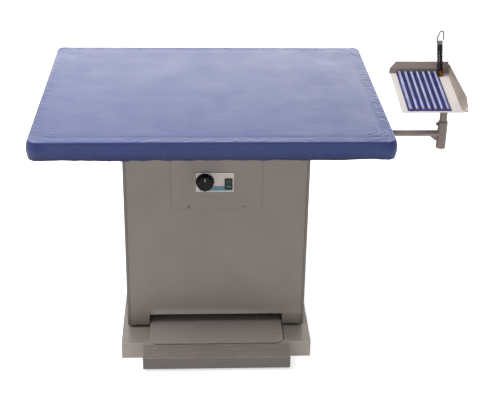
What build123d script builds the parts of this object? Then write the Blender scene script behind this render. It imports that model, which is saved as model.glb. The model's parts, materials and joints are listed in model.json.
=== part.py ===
from build123d import *
from math import cos, pi, radians, sin, sqrt
import os

os.makedirs("parts", exist_ok=True)

# A vacuum ironing table in millimetres: X along the board, Y from the operator's side to the back,
# Z up from the floor. The origin is the middle of the footprint box, iron rest included.

# Board
board_w = 1200.0
board_d = 960.0
board_h = 900.0
skirt_h = 63.0
board_corner_r = 50.0
cover_t = 2.5
cover_edge_r = 9.0
cover_hem_w = 38.0
soft_gap = 0.3
pad_t = 10.0
plate_t = 3.0
perforation_pitch = 72.0
perforation_r = 4.0
perforation_margin = 60.0
pan_side_gap = 1.0
pan_sheet = 2.0
spigot_r = 60.0
spigot_h = 16.0
element_d = 8.5
element_gap = 0.4
element_passes = 6
element_pitch = 105.6
element_half = 480.0
element_bend_slack = 0.8
element_tail_r = 25.0
element_tail_z = 60.0
support_bar_t = 4.0
support_bar_gap = 20.0
clip_w = 14.0
clip_wing = 10.0
clip_t = 1.5
clip_spacing = 275.0
clips_a_row = 3

# Rails that carry the board on the cabinet
rail_len = 1040.0
rail_h = 30.0
rail_w = 25.0
rail_wall = 2.5
rail_spacing = 340.0
bolt_r = 4.0
bolt_head_r = 7.0
bolt_head_h = 4.0
rail_bolt_inset = 40.0

# Cabinet
cab_w = 650.0
cab_d = 557.0
cab_shift = 16.0
cab_setback = 201.5
cab_bottom = 80.0
sheet = 2.0
seam = 9.0
post_size = 25.0
floor_inset = 14.0
floor_gap = 3.0
duct_hole_gap = 6.0
slot_w = 490.0
slot_top = 124.0

# Base
base_w = 688.0
base_d = 700.0
base_setback = 98.5
base_top_z = 68.0
base_plate_t = 3.0
base_skirt_t = 2.5
base_corner_r = 3.0
pad_foot_r = 20.0
pad_foot_t = 4.0
base_flange = 60.0
skirt_gap = 0.2
foot_inset = 32.0

# Control panel, fascia, knob and switch
panel_w = 318.0
panel_bottom = 560.0
panel_top = 790.0
panel_t = 2.0
panel_corner_r = 2.0
panel_screw_left = 98.0
panel_screw_right = 96.0
panel_screw_z = 566.0
panel_screw_r = 4.5
panel_screw_h = 2.6
panel_screw_shank_r = 2.0
panel_screw_len = 14.0
fascia_w = 144.0
fascia_h = 75.0
fascia_shift = -9.0
fascia_z = 662.5
fascia_t = 1.5
fascia_corner_r = 3.0
knob_r = 27.0
knob_depth = 22.0
knob_from_left = 40.5
knob_z = 666.0
knob_gap = 0.8
knob_edge_r = 2.5
knob_flutes = 12
knob_flute_r = 2.2
spindle_r = 3.0
spindle_fit = 0.05
spindle_grip = 14.0
thermostat_r = 21.0
thermostat_depth = 34.0
thermostat_hole_gap = 2.0
thermostat_neck_r = 6.0
neck_hole_gap = 0.5
switch_w = 27.0
switch_h = 40.0
switch_from_left = 122.5
switch_z = 658.0
bezel_depth = 4.0
bezel_corner_r = 2.5
bezel_rim = 3.5
switch_body_inset = 2.5
switch_body_depth = 24.0
switch_cavity_depth = 13.0
switch_hole_gap = 0.5
rocker_gap = 0.5
rocker_tilt = 7.0
rocker_bulge = 3.0
rocker_depth = 9.0
rocker_pin_r = 1.5
rocker_pin_fit = 0.05
rocker_pin_len = 2.0

# Rear panel
louvre_count = 6
louvre_w = 180.0
louvre_h = 5.0
louvre_pitch = 22.0
louvre_z = 300.0
gland_r = 11.0
gland_bore_r = 4.8
gland_flange_r = 16.0
gland_flange_h = 8.0
gland_len = 34.0
gland_inset = 90.0
gland_z = 170.0
grille_margin = 16.0
grille_t = 3.0
grille_bar_w = 5.0
grille_gap_w = 9.0

# Fan and motor
shelf_z = 430.0
shelf_t = 3.0
shelf_flange = 30.0
fan_y = -30.0
scroll_r = 105.0
scroll_step = 18.0
scroll_h = 92.0
scroll_wall = 2.0
scroll_outlet_w = 100.0
scroll_outlet_y = 190.0
collar_h = 15.0
shaft_r = 7.0
shaft_fit = 0.05
shaft_hole_gap = 9.0
shaft_in_motor = 60.0
motor_r = 62.0
motor_h = 160.0
motor_flange_r = 74.0
motor_flange_t = 6.0
motor_fins = 16
motor_fin_h = 5.0
motor_fin_w = 3.0
motor_fin_inset = 20.0
impeller_r = 88.0
impeller_lift = 14.0
impeller_disc_t = 2.5
impeller_hub_r = 17.0
impeller_blade_h = 46.0
impeller_blade_t = 2.0
impeller_blades = 12
impeller_eye_r = 50.0
impeller_lean = 28.0
duct_wall = 1.5
duct_fit = 0.3
exhaust_wall = 1.5

# Treadle
treadle_pivot_in = 95.0
treadle_pivot_z = 101.0
treadle_slope = 2.3
treadle_plate_w = 484.0
treadle_plate_t = 3.0
treadle_plate_front = 223.0
treadle_plate_rear = 8.0
treadle_corner_r = 30.0
spring_seat_w = 16.0
spring_seat_h = 3.0
tab_w = 60.0
tab_reach = 35.0
tread_w = 528.0
tread_t = 2.0
tread_lap = 8.0
tread_flange = 16.0
tread_nose_out = 84.5
tread_nose_z = 58.0
tread_bottom = 12.0
tread_end_w = 36.0
pivot_tube_r = 12.5
pivot_bore_r = 10.0
bush_len = 18.0
pivot_shaft_r = 8.0
pivot_fit = 0.05
bracket_gap = 2.0
bracket_t = 5.0
bracket_front = 52.0
bracket_rear = 20.0
bracket_over = 12.0
bracket_toe = 16.0
lip_len = 20.0
shaft_end = 6.0
buffer_gap = 0.3
buffer_t = 3.5
buffer_w = 18.0
return_spring_r = 5.5
return_spring_wire = 1.5
return_spring_pitch = 3.0
return_spring_turns = 18
return_spring_x = 150.0
return_spring_in = 52.0
spring_bar_h = 25.0
spring_bar_t = 3.0
foot_switch_x = 60.0
foot_switch_w = 28.0
foot_switch_d = 12.0
foot_switch_h = 18.0
plunger_reach = 28.0
plunger_r = 2.5
plunger_fit = 0.05
plunger_len = 8.0
plunger_out = 4.0
switch_gap = 0.2
switch_stand_t = 3.0
switch_stand_gap = 6.0

# Iron rest: arm, socket, sleeve and post
rest_y = -210.0
rest_arm_z = 818.0
rest_arm_r = 11.0
rest_arm_wall = 2.0
rest_arm_inner = 450.0
rest_post_x = 806.0
rest_post_r = 13.5
rest_post_wall = 2.5
post_end_in = 6.0
post_top = 945.0
sleeve_wall = 3.8
sleeve_fit = 0.05
sleeve_top = 862.0
sleeve_bottom = 764.0
gusset_t = 5.0
gusset_w = 25.0
gusset_h = 16.0
gusset_toe = 5.0
socket_len = 150.0
socket_wall = 4.0
socket_inset = 18.0
socket_flange_w = 50.0
socket_flange_t = 5.0
socket_fit = 0.05
boss_r = 9.0
boss_h = 6.0
boss_gap = 2.0
hand_knob_r = 20.0
hand_knob_h = 18.0
hand_edge_r = 3.0
hand_lobes = 6
hand_lobe_r = 6.0
hand_screw_r = 4.0
hand_screw_gap = 0.05
hand_screw_inset = 24.0
set_screw_r = 4.0
set_screw_gap = 1.0
set_screw_head_r = 6.5
set_screw_head_h = 5.0
set_screw_drop = 9.0

# Iron rest: tray, mat and cable support
tray_w = 205.0
tray_len = 270.0
tray_t = 2.0
tray_tilt = 9.0
tray_front = -357.0
tray_front_z = 953.0
tray_left_of_post = 177.0
back_low_h = 21.0
back_high_h = 22.0
back_high_lean = 10.0
back_over = 4.0
back_cut = 22.0
side_h = 39.0
side_rear_out = 2.0
side_mid_out = 11.0
side_top_out = 16.0
side_nose_out = 19.0
side_nose_h = 2.0
side_cut = 38.0
pivot_pin_r = 8.0
pivot_pin_fit = 0.05
pivot_pin_len = 22.0
pivot_gap = 0.1
hub_r = 17.0
hub_h = 44.0
bracket_plate_w = 56.0
bracket_plate_len = 120.0
bracket_plate_r = 6.0
bracket_plate_t = 4.0
mat_w = 146.0
mat_len = 256.0
mat_base_t = 4.0
mat_rib_h = 6.0
mat_rib_r = 2.5
mat_ribs = 7
mat_rib_share = 0.62
mat_from_left = 21.0
mat_from_front = 8.0
mat_notch_gap = 4.0
brass_r = 10.5
brass_h = 20.0
brass_stud_r = 4.0
rivet_r = 8.0
rivet_h = 2.5
support_x_from_right = 31.0
support_y_from_back = 18.0
support_lean = 5.6
support_spring_r = 8.9
support_wire = 2.1
support_pitch = 2.62
support_turns = 35
cap_r = 10.2
cap_h = 5.0
hook_wire_r = 2.0
hook_w = 18.0
hook_left_h = 14.0
hook_crown = 2.0
hook_crown_out = 4.0
hook_top = 38.0
hook_drop = 33.0
hook_bend_r = 4.0
hook_sink = 2.0

overrun = 5.0

# Places worked out from the sizes
rest_tray_left = rest_post_x - tray_left_of_post
rest_reach = rest_tray_left + tray_w + side_nose_out
board_x = (board_w / 2 - rest_reach) / 2
cab_x = board_x + cab_shift
cab_left = cab_x - cab_w / 2
cab_right = cab_x + cab_w / 2
cab_front = cab_setback - board_d / 2
cab_back = cab_front + cab_d
base_front_y = base_setback - board_d / 2
base_back_y = base_front_y + base_d
base_left_x = cab_x - base_w / 2
base_right_x = cab_x + base_w / 2
skirt_bottom = board_h - skirt_h
cover_under = board_h - cover_t
pad_top = cover_under - soft_gap
pad_bottom = pad_top - pad_t
plate_top = pad_bottom - soft_gap
plate_bottom = plate_top - plate_t
pan_bottom = skirt_bottom + cover_t + soft_gap
pan_floor = pan_bottom + pan_sheet
pan_w = board_w - 2 * (cover_t + pan_side_gap)
pan_d = board_d - 2 * (cover_t + pan_side_gap)
pan_corner_r = board_corner_r - cover_t - pan_side_gap
cab_top = pan_bottom - rail_h
floor_top = cab_bottom - floor_gap


def slab(x0, x1, y0, y1, z0, z1, mode=Mode.ADD):
    """A rectangular block between two corners."""
    with Locations(((x0 + x1) / 2, (y0 + y1) / 2, (z0 + z1) / 2)):
        Box(x1 - x0, y1 - y0, z1 - z0, mode=mode)


def rounded(width, depth, radius, x=0.0, y=0.0, plane=Plane.XY):
    """A rounded rectangle about a point of a plane."""
    with BuildSketch(plane) as outline:
        with Locations((x, y)):
            RectangleRounded(width, depth, radius)
    return outline.sketch


def strip_outline(points, thickness):
    """The outline of a folded sheet: the points follow one face, and the sheet lies on their left."""
    runs = [(b - a).normalized() for a, b in zip(points, points[1:])]
    lefts = [Vector(-run.Y, run.X) for run in runs]
    far = [points[0] + lefts[0] * thickness]
    for corner, before, after in zip(points[1:], lefts, lefts[1:]):
        middle = (before + after).normalized()
        far.append(corner + middle * (thickness / middle.dot(before)))
    far.append(points[-1] + lefts[-1] * thickness)
    return points + far[::-1]


def scroll_outline(inset, outlet_end):
    """The fan scroll in plan: three quarter arcs that widen by a step each, then a straight outlet."""
    half = scroll_step / 2
    first = scroll_r - inset
    right = half + first + 2 * scroll_step
    tongue_x = half + scroll_r + 2 * scroll_step - scroll_outlet_w + inset
    with BuildSketch() as outline:
        with BuildLine():
            CenterArc((-half, -half), first, 90, 90)
            CenterArc((half, -half), first + scroll_step, 180, 90)
            CenterArc((half, half), first + 2 * scroll_step, 270, 90)
            Polyline(
                (right, half),
                (right, outlet_end),
                (tongue_x, outlet_end),
                (tongue_x, first - half),
                (-half, first - half),
            )
        make_face()
    return outline.sketch


def coil_path(radius, wire, pitch, turns):
    """A spring's centre line about Z: half turns as biarcs, with both ends led straight along Z."""
    rise = pitch / (2 * pi * radius)
    level = 1 / sqrt(1 + rise * rise)
    climb = rise * level
    lead_r = wire * lead_bend_share

    def place(half_turn):
        angle = pi * half_turn
        return Vector(radius * cos(angle), radius * sin(angle), pitch * half_turn / 2)

    def heading(half_turn):
        angle = pi * half_turn
        return Vector(-level * sin(angle), level * cos(angle), climb)

    up = Vector(0, 0, 1)
    first, last = heading(0), heading(2 * turns)
    flat_first, flat_last = (first - up * climb) * (1 / level), (last - up * climb) * (1 / level)
    foot = place(0) - (flat_first * (1 - climb) + up * level) * lead_r
    head = place(2 * turns) + (flat_last * (1 - climb) + up * level) * lead_r
    with BuildLine() as path:
        Line(foot - up * wire, foot)
        TangentArc(foot, place(0), tangent=up)
        for k in range(2 * turns):
            start, end, leaving, arriving = place(k), place(k + 1), heading(k), heading(k + 1)
            chord, both = end - start, leaving + arriving
            a, b, c = 2 * (leaving.dot(arriving) - 1), -2 * chord.dot(both), chord.dot(chord)
            reach = (-b - sqrt(b * b - 4 * a * c)) / (2 * a)
            joint = (start + end + (leaving - arriving) * reach) * (1 / 2)
            middle = (end - arriving * reach) - (start + leaving * reach)
            TangentArc(start, joint, tangent=leaving)
            TangentArc(joint, end, tangent=middle)
        TangentArc(place(2 * turns), head, tangent=last)
        Line(head, head + up * wire)
    return path.line, wire + lead_r * level


def least_gap(line, wire, turns):
    """The least distance from the tube to itself, measured on points along its line."""
    steps = turns * points_a_turn
    points = [line @ (k / steps) for k in range(steps + 1)]
    near = []
    for k, point in enumerate(points):
        for other in points[k + points_a_turn // 2 : k + 3 * points_a_turn // 2]:
            near.append((point - other).length)
    return min(near) - wire


lead_bend_share = 1.1
points_a_turn = 36


# Board cover: a tight cloth shell with rounded edges and its hem turned under the board
with BuildPart(mode=Mode.PRIVATE) as cover_hollow:
    hollow_base = Plane.XY.offset(skirt_bottom + cover_t)
    extrude(rounded(board_w - 2 * cover_t, board_d - 2 * cover_t, board_corner_r - cover_t, board_x, 0,
                    hollow_base), skirt_h - 2 * cover_t)
    fillet(cover_hollow.faces().sort_by(Axis.Z)[-1].edges(), cover_edge_r - cover_t)

with BuildPart() as cover:
    extrude(rounded(board_w, board_d, board_corner_r, board_x, 0, Plane.XY.offset(skirt_bottom)), skirt_h)
    fillet(cover.faces().sort_by(Axis.Z)[-1].edges(), cover_edge_r)
    add(cover_hollow.part, mode=Mode.SUBTRACT)
    extrude(
        rounded(board_w - 2 * cover_hem_w, board_d - 2 * cover_hem_w, board_corner_r, board_x, 0,
                Plane.XY.offset(skirt_bottom - overrun)),
        overrun + 2 * cover_t,
        mode=Mode.SUBTRACT,
    )

# Felt pad that lies on the perforated plate, under the cover
with BuildPart() as pad:
    extrude(rounded(pan_w, pan_d, pan_corner_r, board_x, 0, Plane.XY.offset(pad_bottom)), pad_t)
    fillet(pad.faces().sort_by(Axis.Z)[-1].edges(), cover_edge_r - cover_t)

# Perforated plate that the element heats and the fan draws air through
holes_across = int((pan_w - 2 * perforation_margin) // perforation_pitch) + 1
holes_deep = int((pan_d - 2 * perforation_margin) // perforation_pitch) + 1
with BuildPart() as top_plate:
    with BuildSketch(Plane.XY.offset(plate_bottom)):
        with Locations((board_x, 0)):
            RectangleRounded(pan_w, pan_d, pan_corner_r)
            with GridLocations(perforation_pitch, perforation_pitch, holes_across, holes_deep):
                Circle(perforation_r, mode=Mode.SUBTRACT)
    extrude(amount=plate_t)

# Plenum pan: the sheet box under the plate, with the suction spigot and two holes for the element
element_first_y = -element_pitch * (element_passes - 1) / 2
element_z = plate_bottom - element_gap - element_d / 2
element_tail_x = cab_left + element_tail_z
with BuildPart() as plenum_pan:
    extrude(rounded(pan_w, pan_d, pan_corner_r, board_x, 0, Plane.XY.offset(pan_bottom)),
            plate_bottom - pan_bottom)
    extrude(
        rounded(pan_w - 2 * pan_sheet, pan_d - 2 * pan_sheet, pan_corner_r - pan_sheet, board_x, 0,
                Plane.XY.offset(pan_floor)),
        plate_bottom - pan_floor,
        mode=Mode.SUBTRACT,
    )
    with Locations((cab_x, fan_y, pan_bottom - spigot_h / 2)):
        Cylinder(spigot_r, spigot_h)
    with Locations((cab_x, fan_y, pan_bottom)):
        Cylinder(spigot_r - pan_sheet, 2 * (spigot_h + pan_sheet), mode=Mode.SUBTRACT)
    with Locations(
        (element_tail_x, element_first_y, pan_bottom), (element_tail_x, -element_first_y, pan_bottom)
    ):
        Cylinder(element_d / 2 + element_gap, 2 * pan_sheet + overrun, mode=Mode.SUBTRACT)

# Heating element: one serpentine rod, its two ends turned down through the pan
element_points = [(element_tail_x, element_first_y, pan_bottom - pan_sheet)]
element_points.append((element_tail_x, element_first_y, element_z))
for k in range(element_passes):
    row_y = element_first_y + k * element_pitch
    ends = (board_x - element_half, board_x + element_half)
    first_x, last_x = ends if k % 2 == 0 else ends[::-1]
    if k > 0:
        element_points.append((first_x, row_y, element_z))
    if k < element_passes - 1:
        element_points.append((last_x, row_y, element_z))
element_points.append((element_tail_x, -element_first_y, element_z))
element_points.append((element_tail_x, -element_first_y, pan_bottom - pan_sheet))
element_turn_r = element_pitch / 2 - element_bend_slack
element_radii = [element_tail_r] + [element_turn_r] * (len(element_points) - 4) + [element_tail_r]
with BuildPart() as heating_element:
    with BuildLine() as element_path:
        FilletPolyline(*element_points, radius=element_radii)
    with BuildSketch(Plane(origin=element_path.line @ 0, z_dir=element_path.line % 0)):
        Circle(element_d / 2)
    sweep()

# Straps that hold the element's rows against the plate
clip_inner = element_d / 2 + element_gap
clip_drop = element_d + 2 * element_gap
clip_bottom = plate_bottom - clip_drop - clip_t
clip_places = [board_x + (k - 1 / 2) * clip_spacing for k in range(clips_a_row)]
with BuildPart() as element_clips:
    for k in range(element_passes):
        row_y = element_first_y + k * element_pitch
        for x in clip_places:
            slab(x - clip_w / 2, x + clip_w / 2, row_y - clip_inner - clip_t, row_y + clip_inner + clip_t,
                 clip_bottom, plate_bottom)
            for side in (-1, 1):
                wing_y = row_y + side * (clip_inner + clip_wing / 2)
                slab(x - clip_w / 2, x + clip_w / 2, wing_y - clip_wing / 2, wing_y + clip_wing / 2,
                     plate_bottom - clip_t, plate_bottom)
            slab(x - clip_w / 2 - overrun, x + clip_w / 2 + overrun, row_y - clip_inner, row_y + clip_inner,
                 clip_bottom + clip_t, plate_bottom, mode=Mode.SUBTRACT)

# Two bars on edge that carry the plate between the element's rows
support_half = element_half - element_pitch / 2 - support_bar_gap
support_y = element_pitch
with BuildPart() as plate_supports:
    for y in (-support_y, support_y):
        slab(board_x - support_half, board_x + support_half, y - support_bar_t / 2, y + support_bar_t / 2,
             pan_floor, plate_bottom)

# Channel rails between the pan and the cabinet
rail_bolt_places = [
    (x, y)
    for x in (cab_left + rail_bolt_inset, cab_right - rail_bolt_inset)
    for y in (-rail_spacing / 2, rail_spacing / 2)
]
with BuildPart() as board_rails:
    for y in (-rail_spacing / 2, rail_spacing / 2):
        slab(board_x - rail_len / 2, board_x + rail_len / 2, y - rail_w / 2, y + rail_w / 2,
             cab_top, pan_bottom)
        slab(board_x - rail_len / 2 - overrun, board_x + rail_len / 2 + overrun,
             y - rail_w / 2 + rail_wall, y + rail_w / 2 - rail_wall,
             cab_top + rail_wall, pan_bottom - rail_wall, mode=Mode.SUBTRACT)
    for x, y in rail_bolt_places:
        with Locations((x, y, cab_top)):
            Cylinder(bolt_r, 2 * rail_wall + overrun, mode=Mode.SUBTRACT)

# Bolts that hold the rails to the cabinet top
with BuildPart() as rail_bolts:
    for x, y in rail_bolt_places:
        with Locations((x, y, cab_top + (rail_wall - sheet) / 2)):
            Cylinder(bolt_r, rail_wall + sheet)
        with Locations((x, y, cab_top + rail_wall + bolt_head_h / 2)):
            Cylinder(bolt_head_r, bolt_head_h)
        with BuildSketch(Plane((x, y, cab_top - sheet - bolt_head_h))):
            RegularPolygon(bolt_head_r, 6)
        extrude(amount=bolt_head_h)

# Cabinet top, with room for the suction duct and the element's leads
with BuildPart() as cabinet_top:
    slab(cab_left, cab_right, cab_front, cab_back, cab_top - sheet, cab_top)
    with Locations((cab_x, fan_y, cab_top)):
        Cylinder(spigot_r + duct_wall + duct_hole_gap, 2 * sheet + overrun, mode=Mode.SUBTRACT)
    for x, y in rail_bolt_places:
        with Locations((x, y, cab_top)):
            Cylinder(bolt_r, 2 * sheet + overrun, mode=Mode.SUBTRACT)
    for y in (element_first_y, -element_first_y):
        with Locations((element_tail_x, y, cab_top)):
            Cylinder(element_d, 2 * sheet + overrun, mode=Mode.SUBTRACT)

# Cabinet floor: a board set in from the panels, which leaves a shadow gap over the base
with BuildPart() as cabinet_floor:
    slab(cab_left + floor_inset, cab_right - floor_inset, cab_front + floor_inset, cab_back - floor_inset,
         base_top_z, floor_top)

# Corner posts of square tube
with BuildPart() as corner_posts:
    for x in (cab_left + sheet, cab_right - sheet - post_size):
        for y in (cab_front + sheet, cab_back - sheet - post_size):
            slab(x, x + post_size, y, y + post_size, floor_top, cab_top - sheet)
            slab(x + sheet, x + post_size - sheet, y + sheet, y + post_size - sheet,
                 floor_top - overrun, cab_top + overrun, mode=Mode.SUBTRACT)

# Side panels
with BuildPart() as side_panel_left:
    slab(cab_left, cab_left + sheet, cab_front, cab_back, cab_bottom, cab_top - sheet)

with BuildPart() as side_panel_right:
    slab(cab_right - sheet, cab_right, cab_front, cab_back, cab_bottom, cab_top - sheet)

# Places of the fascia, the knob and the switch on the front
fascia_x = cab_x + fascia_shift
fascia_left = fascia_x - fascia_w / 2
knob_x = fascia_left + knob_from_left
switch_x = fascia_left + switch_from_left
panel_face = cab_front - panel_t
fascia_face = panel_face - fascia_t
switch_body_w = switch_w - 2 * switch_body_inset
switch_body_h = switch_h - 2 * switch_body_inset

# Front panel: flat sheet between the side panels, with the treadle's slot and two holes for the controls
with BuildPart() as front_panel:
    slab(cab_left + seam, cab_right - seam, cab_front, cab_front + sheet, cab_bottom, cab_top - sheet)
    slab(cab_x - slot_w / 2, cab_x + slot_w / 2, cab_front - overrun, cab_front + sheet + overrun,
         cab_bottom - overrun, slot_top, mode=Mode.SUBTRACT)
    slab(switch_x - switch_body_w / 2 - switch_hole_gap, switch_x + switch_body_w / 2 + switch_hole_gap,
         cab_front - overrun, cab_front + sheet + overrun,
         switch_z - switch_body_h / 2 - switch_hole_gap, switch_z + switch_body_h / 2 + switch_hole_gap,
         mode=Mode.SUBTRACT)
    with BuildSketch(Plane.XZ.offset(-cab_front - sheet - overrun)):
        with Locations((knob_x, knob_z)):
            Circle(thermostat_r + thermostat_hole_gap)
        with Locations((cab_x - panel_screw_left, panel_screw_z), (cab_x + panel_screw_right, panel_screw_z)):
            Circle(panel_screw_shank_r)
    extrude(amount=sheet + 2 * overrun, mode=Mode.SUBTRACT)

# Control panel plate over the front panel
with BuildPart() as control_panel:
    with BuildSketch(Plane.XZ.offset(-cab_front)):
        with Locations((cab_x, (panel_bottom + panel_top) / 2)):
            RectangleRounded(panel_w, panel_top - panel_bottom, panel_corner_r)
        with Locations((cab_x - panel_screw_left, panel_screw_z), (cab_x + panel_screw_right, panel_screw_z)):
            Circle(panel_screw_shank_r, mode=Mode.SUBTRACT)
        with Locations((knob_x, knob_z)):
            Circle(thermostat_neck_r + neck_hole_gap, mode=Mode.SUBTRACT)
        with Locations((switch_x, switch_z)):
            Rectangle(switch_body_w + 2 * switch_hole_gap, switch_body_h + 2 * switch_hole_gap,
                      mode=Mode.SUBTRACT)
    extrude(amount=panel_t)

# Domed screws at the control panel's lower edge
with BuildPart() as panel_screws:
    for x in (cab_x - panel_screw_left, cab_x + panel_screw_right):
        with BuildSketch(Plane.XZ.offset(-panel_face + panel_screw_h - panel_screw_len)):
            with Locations((x, panel_screw_z)):
                Circle(panel_screw_shank_r)
        extrude(amount=panel_screw_len)
        with BuildSketch(Plane.XZ.offset(-panel_face)):
            with Locations((x, panel_screw_z)):
                Circle(panel_screw_r)
        extrude(amount=panel_screw_h)
    heads = panel_screws.faces().sort_by(Axis.Y)[:2]
    fillet(heads.edges(), panel_screw_h / 2)

# Light fascia plate
with BuildPart() as fascia:
    with BuildSketch(Plane.XZ.offset(-panel_face)):
        with Locations((fascia_x, fascia_z)):
            RectangleRounded(fascia_w, fascia_h, fascia_corner_r)
        with Locations((knob_x, knob_z)):
            Circle(thermostat_neck_r + neck_hole_gap, mode=Mode.SUBTRACT)
        with Locations((switch_x, switch_z)):
            Rectangle(switch_body_w + 2 * switch_hole_gap, switch_body_h + 2 * switch_hole_gap,
                      mode=Mode.SUBTRACT)
    extrude(amount=fascia_t)

# Thermostat behind the control panel, bored for its spindle
thermostat_front = cab_front
with BuildPart() as thermostat_body:
    with BuildSketch(Plane.XZ.offset(-thermostat_front - thermostat_depth)):
        with Locations((knob_x, knob_z)):
            Circle(thermostat_r)
    extrude(amount=thermostat_depth)
    with BuildSketch(Plane.XZ.offset(-thermostat_front)):
        with Locations((knob_x, knob_z)):
            Circle(thermostat_neck_r)
    extrude(amount=panel_t + fascia_t)
    with BuildSketch(Plane.XZ.offset(-thermostat_front - thermostat_depth / 2)):
        with Locations((knob_x, knob_z)):
            Circle(spindle_r + spindle_fit)
    extrude(amount=thermostat_depth / 2 + panel_t + fascia_t, mode=Mode.SUBTRACT)

# Spindle that the knob turns
knob_back = fascia_face - knob_gap
with BuildPart() as thermostat_spindle:
    with BuildSketch(Plane.XZ.offset(-thermostat_front - thermostat_depth / 2 + spindle_fit)):
        with Locations((knob_x, knob_z)):
            Circle(spindle_r)
    extrude(amount=thermostat_depth / 2 - spindle_fit - (knob_back - cab_front) + spindle_grip)

# Fluted knob with a pointer groove
with BuildPart() as thermostat_knob:
    with BuildSketch(Plane.XZ.offset(-knob_back)):
        with Locations((knob_x, knob_z)):
            Circle(knob_r)
    extrude(amount=knob_depth)
    fillet(thermostat_knob.faces().sort_by(Axis.Y)[0].edges(), knob_edge_r)
    with BuildSketch(Plane.XZ.offset(-knob_back)):
        with Locations((knob_x, knob_z)):
            with PolarLocations(knob_r, knob_flutes, start_angle=180 / knob_flutes):
                Circle(knob_flute_r)
    extrude(amount=knob_depth + overrun, mode=Mode.SUBTRACT)
    with BuildSketch(Plane.XZ.offset(-knob_back)):
        with Locations((knob_x, knob_z)):
            Circle(spindle_r)
    extrude(amount=spindle_grip, mode=Mode.SUBTRACT)
    slab(knob_x - knob_edge_r / 2, knob_x + knob_edge_r / 2, knob_back - knob_depth - overrun,
         knob_back - knob_depth + knob_edge_r / 2, knob_z + knob_r / 3, knob_z + knob_r, mode=Mode.SUBTRACT)

# Switch housing: bezel on the fascia, body through the panel, and a cavity for the rocker
cavity_w = switch_w - 2 * bezel_rim
cavity_h = switch_h - 2 * bezel_rim
bezel_face = fascia_face - bezel_depth
rocker_y = fascia_face - bezel_depth + rocker_depth
with BuildPart() as switch_housing:
    with BuildSketch(Plane.XZ.offset(-fascia_face)):
        with Locations((switch_x, switch_z)):
            RectangleRounded(switch_w, switch_h, bezel_corner_r)
    extrude(amount=bezel_depth)
    slab(switch_x - switch_body_w / 2, switch_x + switch_body_w / 2, fascia_face,
         fascia_face + switch_body_depth, switch_z - switch_body_h / 2, switch_z + switch_body_h / 2)
    slab(switch_x - cavity_w / 2, switch_x + cavity_w / 2, bezel_face - overrun,
         bezel_face + switch_cavity_depth, switch_z - cavity_h / 2, switch_z + cavity_h / 2,
         mode=Mode.SUBTRACT)
    with BuildSketch(Plane.YZ.offset(switch_x - cavity_w / 2 - rocker_pin_len / 2)):
        with Locations((rocker_y, switch_z)):
            Circle(rocker_pin_r + rocker_pin_fit)
    extrude(amount=cavity_w + rocker_pin_len, mode=Mode.SUBTRACT)

# Rocker: a shallow two-sided key on pivot pins, stored tipped to its off side
rocker_half_h = cavity_h / 2 - rocker_gap - rocker_bulge / 2
rocker_w = cavity_w - 2 * rocker_gap
tipped = radians(rocker_tilt)
rocker_plane = Plane(
    origin=(switch_x, rocker_y, switch_z), x_dir=(0, cos(tipped), -sin(tipped)), z_dir=(1, 0, 0)
)
with BuildPart() as rocker:
    with BuildSketch(rocker_plane.offset(-rocker_w / 2)):
        with BuildLine():
            Polyline(
                (-rocker_depth, rocker_half_h),
                (rocker_pin_r, rocker_half_h / 2),
                (rocker_pin_r, -rocker_half_h / 2),
                (-rocker_depth, -rocker_half_h),
            )
            ThreePointArc(
                (-rocker_depth, -rocker_half_h),
                (-rocker_depth + rocker_bulge, 0),
                (-rocker_depth, rocker_half_h),
            )
        make_face()
    extrude(amount=rocker_w)
    with BuildSketch(rocker_plane.offset(-rocker_w / 2 - rocker_gap - rocker_pin_len / 2 + rocker_pin_fit)):
        Circle(rocker_pin_r)
    extrude(amount=rocker_w + 2 * rocker_gap + rocker_pin_len - 2 * rocker_pin_fit)

# Rear panel: louvres, the exhaust opening and the cable entry
exhaust_w = scroll_outlet_w
exhaust_x = cab_x + scroll_step / 2 + scroll_r + 2 * scroll_step - scroll_outlet_w / 2
exhaust_z = shelf_z + shelf_t + scroll_h / 2
gland_x = cab_right - gland_inset
louvre_x = cab_x - (exhaust_x - cab_x)
with BuildPart() as rear_panel:
    slab(cab_left + seam, cab_right - seam, cab_back - sheet, cab_back, cab_bottom, cab_top - sheet)
    slab(exhaust_x - exhaust_w / 2, exhaust_x + exhaust_w / 2, cab_back - sheet - overrun, cab_back + overrun,
         exhaust_z - scroll_h / 2, exhaust_z + scroll_h / 2, mode=Mode.SUBTRACT)
    for k in range(louvre_count):
        z = louvre_z + k * louvre_pitch
        slab(louvre_x - louvre_w / 2, louvre_x + louvre_w / 2, cab_back - sheet - overrun, cab_back + overrun,
             z, z + louvre_h, mode=Mode.SUBTRACT)
    with BuildSketch(Plane.XZ.offset(-cab_back - overrun)):
        with Locations((gland_x, gland_z)):
            Circle(gland_r)
    extrude(amount=sheet + 2 * overrun, mode=Mode.SUBTRACT)

# Exhaust grille on the back
grille_w = exhaust_w + 2 * grille_margin
grille_h = scroll_h + 2 * grille_margin
grille_bars = int(scroll_h // (grille_bar_w + grille_gap_w))
with BuildPart() as exhaust_grille:
    slab(exhaust_x - grille_w / 2, exhaust_x + grille_w / 2, cab_back, cab_back + grille_t,
         exhaust_z - grille_h / 2, exhaust_z + grille_h / 2)
    for k in range(grille_bars):
        z = exhaust_z + (k - (grille_bars - 1) / 2) * (grille_bar_w + grille_gap_w)
        slab(exhaust_x - exhaust_w / 2, exhaust_x + exhaust_w / 2, cab_back - overrun,
             cab_back + grille_t + overrun, z - grille_gap_w / 2, z + grille_gap_w / 2, mode=Mode.SUBTRACT)

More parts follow.
